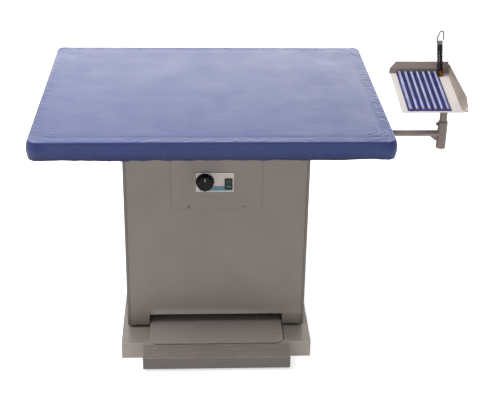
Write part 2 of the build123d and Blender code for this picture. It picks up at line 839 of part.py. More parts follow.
# Cable gland
with BuildPart() as cable_gland:
    with BuildSketch(Plane.XZ.offset(-cab_back - gland_flange_h - gland_len / 4)):
        with Locations((gland_x, gland_z)):
            Circle(gland_r)
    extrude(amount=gland_len)
    with BuildSketch(Plane.XZ.offset(-cab_back - gland_flange_h)):
        with Locations((gland_x, gland_z)):
            RegularPolygon(gland_flange_r, 6)
    extrude(amount=gland_flange_h)
    with BuildSketch(Plane.XZ.offset(-cab_back - gland_flange_h - gland_len)):
        with Locations((gland_x, gland_z)):
            Circle(gland_bore_r)
    extrude(amount=2 * gland_len + gland_flange_h, mode=Mode.SUBTRACT)

# Base: a top plate on four skirts, with a plate and a rubber pad in each corner
base_bottom = pad_foot_t
with BuildPart() as base_top:
    slab(base_left_x, base_right_x, base_front_y, base_back_y, base_top_z - base_plate_t, base_top_z)
    fillet(base_top.edges().filter_by(Axis.Z), base_corner_r)

# Skirts of the base; the front and rear ones are folded inwards to carry the feet
skirt_top = base_top_z - base_plate_t
flange_left = base_left_x + base_skirt_t + skirt_gap
flange_right = base_right_x - base_skirt_t - skirt_gap
with BuildPart() as base_skirts:
    for outer_y, side in ((base_front_y, 1), (base_back_y, -1)):
        inner_y, flange_y = outer_y + side * base_skirt_t, outer_y + side * base_flange
        slab(base_left_x, base_right_x, min(outer_y, inner_y), max(outer_y, inner_y), base_bottom, skirt_top)
        slab(flange_left, flange_right, min(outer_y, flange_y), max(outer_y, flange_y),
             base_bottom, base_bottom + base_skirt_t)
    for x in (base_left_x, base_right_x - base_skirt_t):
        slab(x, x + base_skirt_t, base_front_y + base_skirt_t + skirt_gap,
             base_back_y - base_skirt_t - skirt_gap, base_bottom, skirt_top)

# Rubber feet under the folded edges
foot_places = [
    (x, y, base_bottom / 2)
    for x in (base_left_x + foot_inset, base_right_x - foot_inset)
    for y in (base_front_y + foot_inset, base_back_y - foot_inset)
]
with BuildPart() as rubber_feet:
    with Locations(*foot_places):
        Cylinder(pad_foot_r, base_bottom)

# Fan shelf across the cabinet, folded down at both ends
shelf_left = cab_left + sheet
shelf_right = cab_right - sheet
shelf_front = cab_front + sheet + post_size + overrun
shelf_back = cab_back - sheet - post_size - overrun
with BuildPart() as fan_shelf:
    slab(shelf_left, shelf_right, shelf_front, shelf_back, shelf_z, shelf_z + shelf_t)
    for x in (shelf_left, shelf_right - shelf_t):
        slab(x, x + shelf_t, shelf_front, shelf_back, shelf_z - shelf_flange, shelf_z)
    with Locations((cab_x, fan_y, shelf_z)):
        Cylinder(shaft_r + shaft_hole_gap, 2 * shelf_t + overrun, mode=Mode.SUBTRACT)

# Fan scroll with its inlet collar
scroll_bottom = shelf_z + shelf_t
scroll_top = scroll_bottom + scroll_h
scroll_spot = Location((cab_x, fan_y, 0))
with BuildPart() as fan_scroll:
    extrude(scroll_outline(0, scroll_outlet_y).moved(scroll_spot * Location((0, 0, scroll_bottom))), scroll_h)
    extrude(
        scroll_outline(scroll_wall, scroll_outlet_y + overrun).moved(
            scroll_spot * Location((0, 0, scroll_bottom + scroll_wall))
        ),
        scroll_h - 2 * scroll_wall,
        mode=Mode.SUBTRACT,
    )
    with Locations((cab_x, fan_y, scroll_top + collar_h / 2)):
        Cylinder(spigot_r, collar_h)
    with Locations((cab_x, fan_y, scroll_top)):
        Cylinder(spigot_r - scroll_wall, 2 * collar_h + overrun, mode=Mode.SUBTRACT)
    with Locations((cab_x, fan_y, scroll_bottom)):
        Cylinder(shaft_r + shaft_hole_gap, 2 * scroll_wall, mode=Mode.SUBTRACT)

# Motor under the shelf, bored for its shaft
motor_top = shelf_z
with BuildPart() as motor_body:
    with Locations((cab_x, fan_y, motor_top - motor_flange_t / 2)):
        Cylinder(motor_flange_r, motor_flange_t)
    with Locations((cab_x, fan_y, motor_top - motor_h / 2)):
        Cylinder(motor_r, motor_h)
    fin_len = motor_h - 2 * motor_fin_inset
    with Locations((cab_x, fan_y, motor_top - motor_fin_inset - fin_len / 2)):
        with PolarLocations(motor_r, motor_fins):
            Box(2 * motor_fin_h, motor_fin_w, fin_len)
    with Locations((cab_x, fan_y, motor_top - shaft_in_motor / 2)):
        Cylinder(shaft_r + shaft_fit, shaft_in_motor, mode=Mode.SUBTRACT)

# Motor shaft and impeller
impeller_bottom = scroll_bottom + impeller_lift
impeller_top = impeller_bottom + impeller_disc_t + impeller_blade_h
with BuildPart() as motor_shaft:
    shaft_bottom = motor_top - shaft_in_motor + shaft_fit
    with Locations((cab_x, fan_y, (shaft_bottom + impeller_top) / 2)):
        Cylinder(shaft_r, impeller_top - shaft_bottom)

blade_len = impeller_r - impeller_eye_r
with BuildPart() as impeller:
    with Locations((cab_x, fan_y, impeller_bottom + impeller_disc_t / 2)):
        Cylinder(impeller_r, impeller_disc_t)
    with Locations((cab_x, fan_y, (impeller_bottom + impeller_top) / 2)):
        Cylinder(impeller_hub_r, impeller_top - impeller_bottom)
    with Locations((cab_x, fan_y, impeller_bottom + impeller_disc_t + impeller_blade_h / 2)):
        with PolarLocations((impeller_r + impeller_eye_r) / 2, impeller_blades):
            with Locations(Rotation(0, 0, impeller_lean)):
                Box(blade_len, impeller_blade_t, impeller_blade_h)
    with Locations((cab_x, fan_y, (impeller_bottom + impeller_top) / 2)):
        Cylinder(shaft_r, impeller_top - impeller_bottom + overrun, mode=Mode.SUBTRACT)

# Suction duct from the pan's spigot to the fan's collar
duct_bottom = scroll_top
duct_top = pan_bottom
with BuildPart() as suction_duct:
    with Locations((cab_x, fan_y, (duct_bottom + duct_top) / 2)):
        Cylinder(spigot_r + duct_fit + duct_wall, duct_top - duct_bottom)
        Cylinder(spigot_r + duct_fit, duct_top - duct_bottom + overrun, mode=Mode.SUBTRACT)

# Exhaust duct from the scroll's outlet to the rear panel
duct_y0 = fan_y + scroll_outlet_y
duct_y1 = cab_back - sheet
with BuildPart() as exhaust_duct:
    slab(exhaust_x - exhaust_w / 2, exhaust_x + exhaust_w / 2, duct_y0, duct_y1, scroll_bottom, scroll_top)
    slab(exhaust_x - exhaust_w / 2 + exhaust_wall, exhaust_x + exhaust_w / 2 - exhaust_wall,
         duct_y0 - overrun, duct_y1 + overrun, scroll_bottom + exhaust_wall, scroll_top - exhaust_wall,
         mode=Mode.SUBTRACT)

# Treadle plate, in a plane through the pivot that falls towards the operator
pivot_y = cab_front + treadle_pivot_in
treadle_tilt = radians(treadle_slope)
treadle_plane = Plane(
    origin=(cab_x, pivot_y, treadle_pivot_z),
    x_dir=(1, 0, 0),
    z_dir=(0, -sin(treadle_tilt), cos(treadle_tilt)),
)
plate_upper = -pivot_tube_r
plate_under = plate_upper - treadle_plate_t
seat_spots = [
    treadle_plane.from_local_coords((side * return_spring_x, -return_spring_in, plate_upper))
    for side in (-1, 1)
]
seat_z = seat_spots[0].Z + spring_seat_h
with BuildPart() as treadle_plate:
    with BuildSketch(treadle_plane.offset(plate_under)) as plate_outline:
        with Locations((0, (treadle_plate_rear - treadle_plate_front) / 2)):
            Rectangle(treadle_plate_w, treadle_plate_front + treadle_plate_rear)
        fillet(plate_outline.vertices().group_by(Axis.Y)[0], treadle_corner_r)
        with Locations((foot_switch_x, tab_reach / 2)):
            Rectangle(tab_w, tab_reach)
    extrude(amount=treadle_plate_t)
    for spot in seat_spots:
        slab(spot.X - spring_seat_w / 2, spot.X + spring_seat_w / 2,
             spot.Y - spring_seat_w / 2, spot.Y + spring_seat_w / 2, spot.Z - treadle_plate_t / 2, seat_z)

# Tread in front of the base: one folded sheet under the plate, closed at both ends
fold_in = treadle_plate_front - tread_lap
fold_place = treadle_plane.from_local_coords((0, -fold_in, plate_under))
rear_place = treadle_plane.from_local_coords((0, tread_flange - fold_in, plate_under))
tread_nose_y = base_front_y - tread_nose_out
tread_edge = [
    Vector(tread_nose_y, tread_bottom),
    Vector(tread_nose_y, tread_nose_z),
    Vector(fold_place.Y, fold_place.Z),
    Vector(rear_place.Y, rear_place.Z),
]
tread_left = cab_x - tread_w / 2
with BuildPart() as tread:
    with BuildSketch(Plane.YZ.offset(tread_left)):
        with BuildLine():
            Polyline(*strip_outline(tread_edge[::-1], tread_t), close=True)
        make_face()
    extrude(amount=tread_w)
    for x in (tread_left, tread_left + tread_w - tread_t):
        with BuildSketch(Plane.YZ.offset(x)):
            with BuildLine():
                Polyline(*tread_edge[:3], Vector(tread_nose_y + tread_end_w, tread_bottom), close=True)
            make_face()
        extrude(amount=tread_t)

# Pivot tube on the plate, with a bush in each end
tube_half = treadle_plate_w / 2 - bracket_gap
with BuildPart() as pivot_tube:
    with Locations(Location((cab_x, pivot_y, treadle_pivot_z), (0, 90, 0))):
        Cylinder(pivot_tube_r, 2 * tube_half)
        Cylinder(pivot_bore_r, 2 * tube_half + overrun, mode=Mode.SUBTRACT)

with BuildPart() as pivot_bushes:
    for side in (-1, 1):
        bush_x = cab_x + side * (tube_half - bush_len / 2)
        with Locations(Location((bush_x, pivot_y, treadle_pivot_z), (0, 90, 0))):
            Cylinder(pivot_bore_r, bush_len)
            Cylinder(pivot_shaft_r + pivot_fit, bush_len + overrun, mode=Mode.SUBTRACT)

# Brackets on the cabinet floor, each with a foot and a lip over the plate
bracket_inner = treadle_plate_w / 2 + bracket_gap
bracket_outer = bracket_inner + bracket_t
lip_w = buffer_w + 2 * bracket_gap
lip_y = -bracket_front + lip_len / 2 + bracket_gap
lip_bottom = plate_upper + buffer_gap + buffer_t
with BuildPart() as pivot_brackets:
    for side in (-1, 1):
        inner, outer = cab_x + side * bracket_inner, cab_x + side * bracket_outer
        toe = outer + side * bracket_toe
        rear_y, front_y = pivot_y + bracket_rear, pivot_y - bracket_front
        slab(min(inner, outer), max(inner, outer), front_y, rear_y, floor_top,
             treadle_pivot_z + pivot_shaft_r + bracket_over)
        slab(min(inner, toe), max(inner, toe), front_y, rear_y, floor_top, floor_top + bracket_t)
        with BuildSketch(treadle_plane.offset(lip_bottom)):
            with Locations((side * (bracket_inner + (bracket_t - lip_w) / 2), lip_y)):
                Rectangle(lip_w + bracket_t, lip_len)
        extrude(amount=bracket_t)
    with Locations(Location((cab_x, pivot_y, treadle_pivot_z), (0, 90, 0))):
        Cylinder(pivot_shaft_r, 2 * bracket_outer + overrun, mode=Mode.SUBTRACT)

# Rubber buffers under the lips: the treadle's upper stop
with BuildPart() as treadle_buffers:
    with BuildSketch(treadle_plane.offset(plate_upper + buffer_gap)):
        with Locations(*[(side * (bracket_inner - lip_w / 2), lip_y) for side in (-1, 1)]):
            Rectangle(buffer_w, lip_len - bracket_gap)
    extrude(amount=buffer_t)

# Fixed shaft through both brackets
with BuildPart() as pivot_shaft:
    with Locations(Location((cab_x, pivot_y, treadle_pivot_z), (0, 90, 0))):
        Cylinder(pivot_shaft_r, 2 * (bracket_outer + shaft_end))

# Return springs that pull the plate up against the buffers
return_line, return_lead = coil_path(
    return_spring_r, return_spring_wire, return_spring_pitch, return_spring_turns
)
return_gap = least_gap(return_line, return_spring_wire, return_spring_turns)
print(f"return spring: least gap to itself {return_gap:.2f} mm")
with BuildPart(mode=Mode.PRIVATE) as return_coil:
    add(return_line)
    with BuildSketch(Plane(origin=return_line @ 0, z_dir=return_line % 0)):
        Circle(return_spring_wire / 2)
    sweep(path=return_line)
return_base_z = seat_z + return_lead
with BuildPart() as return_springs:
    for spot in seat_spots:
        add(return_coil.part.moved(Location((spot.X, spot.Y, return_base_z))))

# Folded bar between the side panels that the springs hang from
spring_bar_z = return_base_z + return_spring_turns * return_spring_pitch + return_lead
spring_y = seat_spots[0].Y
with BuildPart() as spring_bar:
    slab(cab_left + sheet, cab_right - sheet, spring_y - spring_bar_h / 2, spring_y + spring_bar_h / 2,
         spring_bar_z, spring_bar_z + spring_bar_t)
    slab(cab_left + sheet, cab_right - sheet, spring_y + spring_bar_h / 2 - spring_bar_t,
         spring_y + spring_bar_h / 2, spring_bar_z + spring_bar_t, spring_bar_z + spring_bar_h)

# Foot switch above the plate's tab, with its plunger and the stand that carries it
switch_spot = treadle_plane.from_local_coords((foot_switch_x, plunger_reach, plate_upper))
plunger_bottom = switch_spot.Z + switch_gap
switch_bottom = plunger_bottom + plunger_out
switch_top = switch_bottom + foot_switch_h
stand_y = pivot_y + tab_reach + switch_stand_gap
switch_left = switch_spot.X - foot_switch_w / 2
switch_right = switch_spot.X + foot_switch_w / 2
with BuildPart() as foot_switch:
    slab(switch_left, switch_right, switch_spot.Y - foot_switch_d / 2, stand_y,
         switch_bottom, switch_top)
    with Locations((switch_spot.X, switch_spot.Y, switch_bottom)):
        Cylinder(plunger_r + plunger_fit, 2 * (plunger_len + plunger_out), mode=Mode.SUBTRACT)

with BuildPart() as switch_plunger:
    with Locations((switch_spot.X, switch_spot.Y, plunger_bottom + (plunger_out + plunger_len) / 2)):
        Cylinder(plunger_r, plunger_out + plunger_len)

with BuildPart() as switch_stand:
    slab(switch_left, switch_right, stand_y, stand_y + switch_stand_t, floor_top, switch_top)
    slab(switch_left, switch_right, stand_y, stand_y + foot_switch_w, floor_top, floor_top + switch_stand_t)

# Socket under the board for the iron rest's arm: a tube with a web, a flange and a threaded boss
post_x = board_x + rest_post_x
arm_inner = board_x + rest_arm_inner
socket_left = board_x + board_w / 2 - socket_inset - socket_len
socket_right = socket_left + socket_len
socket_r = rest_arm_r + socket_fit + socket_wall
flange_end = board_x + board_w / 2 - cover_hem_w - overrun
hand_x = socket_right - hand_screw_inset
with BuildPart() as arm_socket:
    with Locations(Location(((socket_left + socket_right) / 2, rest_y, rest_arm_z), (0, 90, 0))):
        Cylinder(socket_r, socket_len)
    slab(socket_left, flange_end, rest_y - socket_wall, rest_y + socket_wall, rest_arm_z, pan_bottom)
    slab(socket_left, flange_end, rest_y - socket_flange_w / 2, rest_y + socket_flange_w / 2,
         pan_bottom - socket_flange_t, pan_bottom)
    with Locations((hand_x, rest_y, rest_arm_z - (socket_r + boss_h) / 2)):
        Cylinder(boss_r, socket_r + boss_h)
    with Locations(Location(((socket_left + socket_right) / 2, rest_y, rest_arm_z), (0, 90, 0))):
        Cylinder(rest_arm_r + socket_fit, socket_len + overrun, mode=Mode.SUBTRACT)
    with Locations((hand_x, rest_y, rest_arm_z - (socket_r + boss_h + overrun) / 2)):
        Cylinder(hand_screw_r + hand_screw_gap, socket_r + boss_h + overrun, mode=Mode.SUBTRACT)

# Hand screw that clamps the arm from below
hand_tip = rest_arm_z - rest_arm_r - hand_screw_gap
hand_top = rest_arm_z - socket_r - boss_h - boss_gap
with BuildPart() as hand_screw:
    with Locations((hand_x, rest_y, hand_top - hand_knob_h / 2)):
        Cylinder(hand_knob_r, hand_knob_h)
    fillet(hand_screw.edges().filter_by(GeomType.CIRCLE), hand_edge_r)
    with Locations((hand_x, rest_y, hand_top - hand_knob_h / 2)):
        with PolarLocations(hand_knob_r + hand_edge_r, hand_lobes):
            Cylinder(hand_lobe_r, hand_knob_h + overrun, mode=Mode.SUBTRACT)
    with Locations((hand_x, rest_y, (hand_tip + hand_top - hand_knob_h / 2) / 2)):
        Cylinder(hand_screw_r, hand_tip - hand_top + hand_knob_h / 2)

# Arm of the iron rest, coped to the sleeve
sleeve_r = rest_post_r + sleeve_fit + sleeve_wall
with BuildPart() as rest_arm:
    with Locations(Location(((arm_inner + post_x) / 2, rest_y, rest_arm_z), (0, 90, 0))):
        Cylinder(rest_arm_r, post_x - arm_inner)
        Cylinder(rest_arm_r - rest_arm_wall, post_x - arm_inner + overrun, mode=Mode.SUBTRACT)
    with Locations((post_x, rest_y, rest_arm_z)):
        Cylinder(sleeve_r, sleeve_top - sleeve_bottom, mode=Mode.SUBTRACT)

# Sleeve for the post, with the gusset under the arm and the hole for the set screw
set_z = sleeve_top - set_screw_drop
gusset_foot_z = rest_arm_z - rest_arm_r - gusset_h
with BuildPart() as rest_sleeve:
    with Locations((post_x, rest_y, (sleeve_top + sleeve_bottom) / 2)):
        Cylinder(sleeve_r, sleeve_top - sleeve_bottom)
    with BuildSketch(Plane.XZ.offset(-rest_y - gusset_t / 2)):
        with BuildLine():
            Polyline(
                (post_x, rest_arm_z),
                (post_x - sleeve_r - gusset_w, rest_arm_z),
                (post_x - sleeve_r - gusset_w, rest_arm_z - rest_arm_r),
                (post_x - sleeve_r - gusset_toe, gusset_foot_z),
                (post_x, gusset_foot_z),
                close=True,
            )
        make_face()
    extrude(amount=gusset_t)
    with Locations(Location((post_x - sleeve_r, rest_y, rest_arm_z), (0, 90, 0))):
        Cylinder(rest_arm_r, 2 * (gusset_w + overrun), mode=Mode.SUBTRACT)
    with Locations((post_x, rest_y, (sleeve_top + sleeve_bottom) / 2)):
        Cylinder(sleeve_r, sleeve_top - sleeve_bottom)
        Cylinder(rest_post_r + sleeve_fit, sleeve_top - sleeve_bottom + overrun, mode=Mode.SUBTRACT)
    with Locations(Location((post_x - sleeve_r, rest_y, set_z), (0, 90, 0))):
        Cylinder(set_screw_r + sleeve_fit, 2 * sleeve_wall, mode=Mode.SUBTRACT)

# Set screw that holds the post at its height
set_tip = post_x - rest_post_r - sleeve_fit
set_shoulder = post_x - sleeve_r - set_screw_gap
with BuildPart() as set_screw:
    with Locations(Location(((set_tip + set_shoulder) / 2, rest_y, set_z), (0, 90, 0))):
        Cylinder(set_screw_r, set_tip - set_shoulder)
    with BuildSketch(Plane.YZ.offset(set_shoulder - set_screw_head_h)):
        with Locations((rest_y, set_z)):
            RegularPolygon(set_screw_head_r, 6)
    extrude(amount=set_screw_head_h)

# Post of tube, closed at the top by the pin that the tray turns on
post_bottom = sleeve_bottom + post_end_in
post_height = post_top - post_bottom
with BuildPart() as rest_post:
    with Locations((post_x, rest_y, (post_bottom + post_top) / 2)):
        Cylinder(rest_post_r, post_height)
    with Locations((post_x, rest_y, post_bottom + (post_height - pivot_pin_r) / 2)):
        Cylinder(rest_post_r - rest_post_wall, post_height - pivot_pin_r, mode=Mode.SUBTRACT)
    with Locations((post_x, rest_y, post_top + pivot_pin_len / 2)):
        Cylinder(pivot_pin_r, pivot_pin_len)

# Plane of the tray: its origin is the front left corner of the tray's underside
tray_left = board_x + rest_tray_left
tray_rise = radians(tray_tilt)
tray_plane = Plane(
    origin=(tray_left, tray_front, tray_front_z),
    x_dir=(1, 0, 0),
    z_dir=(0, -sin(tray_rise), cos(tray_rise)),
)
post_on_tray = Vector(tray_left_of_post, (rest_y - tray_front) / cos(tray_rise))

# Bracket under the tray: a plate along the tray and a hub that turns on the pin
hub_bottom = post_top + pivot_gap
hub_top = hub_bottom + hub_h
with BuildPart() as tray_bracket:
    with Locations((post_x, rest_y, (hub_bottom + hub_top) / 2)):
        Cylinder(hub_r, hub_h)
    with BuildSketch(tray_plane):
        with Locations(post_on_tray):
            Circle(2 * hub_r)
    extrude(amount=hub_h, mode=Mode.SUBTRACT)
    with BuildSketch(tray_plane.offset(-bracket_plate_t)):
        with Locations(post_on_tray):
            RectangleRounded(bracket_plate_w, bracket_plate_len, bracket_plate_r)
    extrude(amount=bracket_plate_t)
    with Locations((post_x, rest_y, hub_bottom)):
        Cylinder(pivot_pin_r + pivot_pin_fit, 2 * (pivot_pin_len + pivot_gap), mode=Mode.SUBTRACT)

# Tray of the iron rest: a folded sheet with a leaning back wall and a flared side wall
back_top = back_low_h + back_high_h
back_edge = [Vector(tray_len, 0), Vector(tray_len, back_low_h), Vector(tray_len + back_high_lean, back_top)]
support_on_tray = Vector(tray_w - support_x_from_right, tray_len - support_y_from_back)
side_base = Vector(tray_w, 0)
side_stations = (
    (tray_len, side_base, Vector(tray_w, back_low_h), Vector(tray_w + side_rear_out, side_h)),
    (side_cut, side_base, Vector(tray_w + side_mid_out, back_low_h), Vector(tray_w + side_top_out, side_h)),
    (0, side_base, Vector(tray_w + side_mid_out, side_nose_h),
     Vector(tray_w + side_nose_out, 2 * side_nose_h)),
)
with BuildPart() as rest_tray:
    with BuildSketch(tray_plane):
        Rectangle(tray_w, tray_len, align=Align.MIN)
        with Locations(support_on_tray):
            Circle(brass_stud_r, mode=Mode.SUBTRACT)
    extrude(amount=tray_t)
    back_plane = Plane(origin=tray_plane.origin, x_dir=tray_plane.y_dir, z_dir=(1, 0, 0))
    with BuildSketch(back_plane.offset(-back_over)):
        with BuildLine():
            Polyline(*strip_outline(back_edge, tray_t), close=True)
        make_face()
    extrude(amount=tray_w + back_over)
    with BuildSketch(Plane(origin=tray_plane.origin, x_dir=(1, 0, 0), z_dir=-tray_plane.y_dir)):
        with BuildLine():
            Polyline(
                (-back_over, back_low_h),
                (-back_over + back_cut, back_top),
                (-back_over + back_cut, 2 * back_top),
                (-2 * back_cut, 2 * back_top),
                (-2 * back_cut, back_low_h),
                close=True,
            )
        make_face()
    extrude(amount=-2 * tray_len, mode=Mode.SUBTRACT)
    for at_y, *edge in side_stations:
        station = tray_plane.from_local_coords((0, at_y, 0))
        with BuildSketch(Plane(origin=station, x_dir=(1, 0, 0), z_dir=-tray_plane.y_dir)):
            with BuildLine():
                Polyline(*strip_outline(list(edge), tray_t), close=True)
            make_face()
    loft(ruled=True)

# Ribbed rubber mat that the hot iron stands on
rib_pitch = mat_w / mat_ribs
with BuildPart() as iron_mat:
    mat_corner = tray_plane.from_local_coords((mat_from_left, mat_from_front, tray_t))
    with BuildSketch(Plane(origin=mat_corner, x_dir=(1, 0, 0), z_dir=-tray_plane.y_dir)) as mat_profile:
        for k in range(mat_ribs):
            with Locations((rib_pitch * (k + 1 / 2), (mat_base_t + mat_rib_h) / 2)):
                Rectangle(rib_pitch * mat_rib_share, mat_base_t + mat_rib_h)
        fillet(mat_profile.vertices().group_by(Axis.Y)[-1], mat_rib_r)
        Rectangle(mat_w, mat_base_t, align=Align.MIN)
    extrude(amount=-mat_len)
    with BuildSketch(tray_plane.offset(tray_t)):
        with Locations(support_on_tray):
            Circle(brass_r + mat_notch_gap)
    extrude(amount=brass_h, mode=Mode.SUBTRACT)

# Brass socket of the cable support, riveted through the tray and leaning with the support
support_foot = tray_plane.from_local_coords((support_on_tray.X, support_on_tray.Y, tray_t))
lean = radians(support_lean)
support_plane = Plane(
    origin=support_foot, x_dir=(cos(lean), 0, sin(lean)), z_dir=(-sin(lean), 0, cos(lean))
)
with BuildPart() as brass_socket:
    with BuildSketch(support_plane.offset(-brass_r / 2)):
        Circle(brass_r)
    extrude(amount=brass_h + brass_r / 2)
    with BuildSketch(tray_plane.offset(tray_t)):
        with Locations(support_on_tray):
            Circle(2 * brass_r)
    extrude(amount=-brass_h, mode=Mode.SUBTRACT)
    with BuildSketch(tray_plane.offset(-rivet_h)):
        with Locations(support_on_tray):
            Circle(brass_stud_r)
    extrude(amount=rivet_h + 2 * tray_t)
    with BuildSketch(tray_plane.offset(-rivet_h)):
        with Locations(support_on_tray):
            Circle(rivet_r)
    extrude(amount=rivet_h)

# Close-wound spring that holds the iron's cable clear
support_line, support_lead = coil_path(support_spring_r, support_wire, support_pitch, support_turns)
support_self_gap = least_gap(support_line, support_wire, support_turns)
print(f"cable support spring: least gap to itself {support_self_gap:.2f} mm")
with BuildPart(mode=Mode.PRIVATE) as support_coil:
    add(support_line)
    with BuildSketch(Plane(origin=support_line @ 0, z_dir=support_line % 0)):
        Circle(support_wire / 2)
    sweep(path=support_line)
spring_base = support_plane.offset(brass_h + support_lead)
with BuildPart() as support_spring:
    add(support_coil.part.moved(spring_base.location))

# Cap on the spring with the wire hook for the cable
cap_plane = support_plane.offset(brass_h + support_turns * support_pitch + 2 * support_lead)
hook_plane = cap_plane.offset(cap_h - hook_sink)
with BuildPart() as cable_hook:
    with BuildSketch(cap_plane):
        Circle(cap_r)
    extrude(amount=cap_h)
    hook_points = [
        (-hook_w / 2, 0, 0),
        (-hook_w / 2, 0, hook_left_h),
        (hook_crown, 0, hook_top),
        (hook_w / 2 + hook_crown_out, 0, hook_top),
        (hook_w / 2 + hook_crown_out, 0, hook_top - hook_drop),
    ]
    with BuildLine() as hook_line:
        FilletPolyline(*[hook_plane.from_local_coords(point) for point in hook_points], radius=hook_bend_r)
    with BuildSketch(Plane(origin=hook_line.line @ 0, z_dir=hook_line.line % 0)):
        Circle(hook_wire_r)
    sweep(path=hook_line.line)

pieces = {
    "board_cover": cover,
    "felt_pad": pad,
    "perforated_plate": top_plate,
    "plenum_pan": plenum_pan,
    "heating_element": heating_element,
    "element_clips": element_clips,
    "plate_supports": plate_supports,
    "board_rails": board_rails,
    "rail_bolts": rail_bolts,
    "cabinet_top": cabinet_top,
    "cabinet_floor": cabinet_floor,
    "corner_posts": corner_posts,
    "side_panel_left": side_panel_left,
    "side_panel_right": side_panel_right,
    "front_panel": front_panel,
    "rear_panel": rear_panel,
    "exhaust_grille": exhaust_grille,
    "cable_gland": cable_gland,
    "control_panel": control_panel,
    "panel_screws": panel_screws,
    "fascia": fascia,
    "thermostat_body": thermostat_body,
    "thermostat_spindle": thermostat_spindle,
    "thermostat_knob": thermostat_knob,
    "switch_housing": switch_housing,
    "switch_rocker": rocker,
    "base_top": base_top,
    "base_skirts": base_skirts,
    "rubber_feet": rubber_feet,
    "fan_shelf": fan_shelf,
    "fan_scroll": fan_scroll,
    "motor_body": motor_body,
    "motor_shaft": motor_shaft,
    "fan_impeller": impeller,
    "suction_duct": suction_duct,
    "exhaust_duct": exhaust_duct,
    "treadle_plate": treadle_plate,
    "treadle_tread": tread,
    "pivot_tube": pivot_tube,
    "pivot_bushes": pivot_bushes,
    "pivot_brackets": pivot_brackets,
    "treadle_buffers": treadle_buffers,
    "pivot_shaft": pivot_shaft,
    "return_springs": return_springs,
    "spring_bar": spring_bar,
    "foot_switch": foot_switch,
    "switch_plunger": switch_plunger,
    "switch_stand": switch_stand,
    "arm_socket": arm_socket,
    "hand_screw": hand_screw,
    "rest_arm": rest_arm,
    "rest_sleeve": rest_sleeve,
    "set_screw": set_screw,
    "rest_post": rest_post,
    "tray_bracket": tray_bracket,
    "rest_tray": rest_tray,
    "iron_mat": iron_mat,
    "brass_socket": brass_socket,
    "support_spring": support_spring,
    "cable_hook": cable_hook,
}
for name, piece in pieces.items():
    piece.part.label = name
    export_step(piece.part, f"parts/{name}.step")
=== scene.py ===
import json
import math
from collections import namedtuple

import bmesh
import bpy
import numpy as np
from mathutils import Matrix, Vector, noise


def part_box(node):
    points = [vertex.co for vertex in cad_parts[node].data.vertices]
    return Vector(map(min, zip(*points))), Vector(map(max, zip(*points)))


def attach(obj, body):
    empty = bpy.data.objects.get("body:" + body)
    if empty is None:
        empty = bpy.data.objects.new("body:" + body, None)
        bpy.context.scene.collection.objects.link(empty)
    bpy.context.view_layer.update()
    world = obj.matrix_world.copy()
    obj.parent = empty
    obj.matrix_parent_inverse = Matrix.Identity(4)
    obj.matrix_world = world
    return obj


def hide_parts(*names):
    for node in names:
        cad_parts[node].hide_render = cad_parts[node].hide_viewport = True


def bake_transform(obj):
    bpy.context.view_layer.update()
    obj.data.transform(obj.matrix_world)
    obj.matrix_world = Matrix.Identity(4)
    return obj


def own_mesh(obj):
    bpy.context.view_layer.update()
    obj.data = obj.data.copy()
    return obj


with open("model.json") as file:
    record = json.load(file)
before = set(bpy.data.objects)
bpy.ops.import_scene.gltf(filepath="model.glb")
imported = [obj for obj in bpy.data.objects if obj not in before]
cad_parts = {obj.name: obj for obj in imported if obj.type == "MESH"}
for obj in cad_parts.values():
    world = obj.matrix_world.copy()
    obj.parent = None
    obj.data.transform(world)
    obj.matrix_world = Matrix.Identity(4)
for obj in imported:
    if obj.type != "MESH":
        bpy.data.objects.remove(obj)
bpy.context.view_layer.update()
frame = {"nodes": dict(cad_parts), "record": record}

# Places read from the frame, in metres
cover_low, cover_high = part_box("board_cover")
pad_low, pad_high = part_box("felt_pad")
fascia_low, fascia_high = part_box("fascia")
knob_low, knob_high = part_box("thermostat_knob")
housing_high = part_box("switch_housing")[1]
rocker_low, rocker_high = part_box("switch_rocker")
mat_low, mat_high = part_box("iron_mat")
cabinet_low, cabinet_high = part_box("front_panel")
panel_low, panel_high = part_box("control_panel")
treadle_low, treadle_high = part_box("treadle_plate")
springs_low, springs_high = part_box("return_springs")
BOARD_X, BOARD_Y = (cover_low.x + cover_high.x) / 2, (cover_low.y + cover_high.y) / 2
KNOB = Vector(((knob_low.x + knob_high.x) / 2, knob_low.y, (knob_low.z + knob_high.z) / 2))

# The cover's hem: its seam over the cover's lower edge, the dark fade below and above the seam, how far from
# its middle the seam starts and stops to fade, its stitches, and the weave
HEM_SEAM_Z = cover_low.z + 0.011
HEM_FADE_LOW_Z, HEM_FADE_HIGH_Z = HEM_SEAM_Z - 0.008, HEM_SEAM_Z + 0.014
SEAM_HALF_IN, SEAM_HALF_OUT = 0.0004, 0.0016
STITCHES_PER_METRE, STITCH_GAP_SHARE = 280.0, 0.35
THREAD_PITCH = 0.0016

# The fascia's print: its field beside the knob, the plate's pale part, its rim, and the blur of their edges
TEAL_LEFT_X, TEAL_RIGHT_X = KNOB.x + 0.0124, housing_high.x + 0.0016
TEAL_BOTTOM_Z, TEAL_TOP_Z = fascia_low.z + 0.0064, fascia_low.z + 0.0256
PRINT_LEFT_X, PRINT_RIGHT_X = fascia_low.x + 0.010, fascia_high.x - 0.004
PRINT_BOTTOM_Z, PRINT_TOP_Z = fascia_low.z + 0.0035, fascia_high.z
PRINT_RIM, PRINT_BLUR, TEAL_BLUR = 0.0014, 0.0006, 0.0012

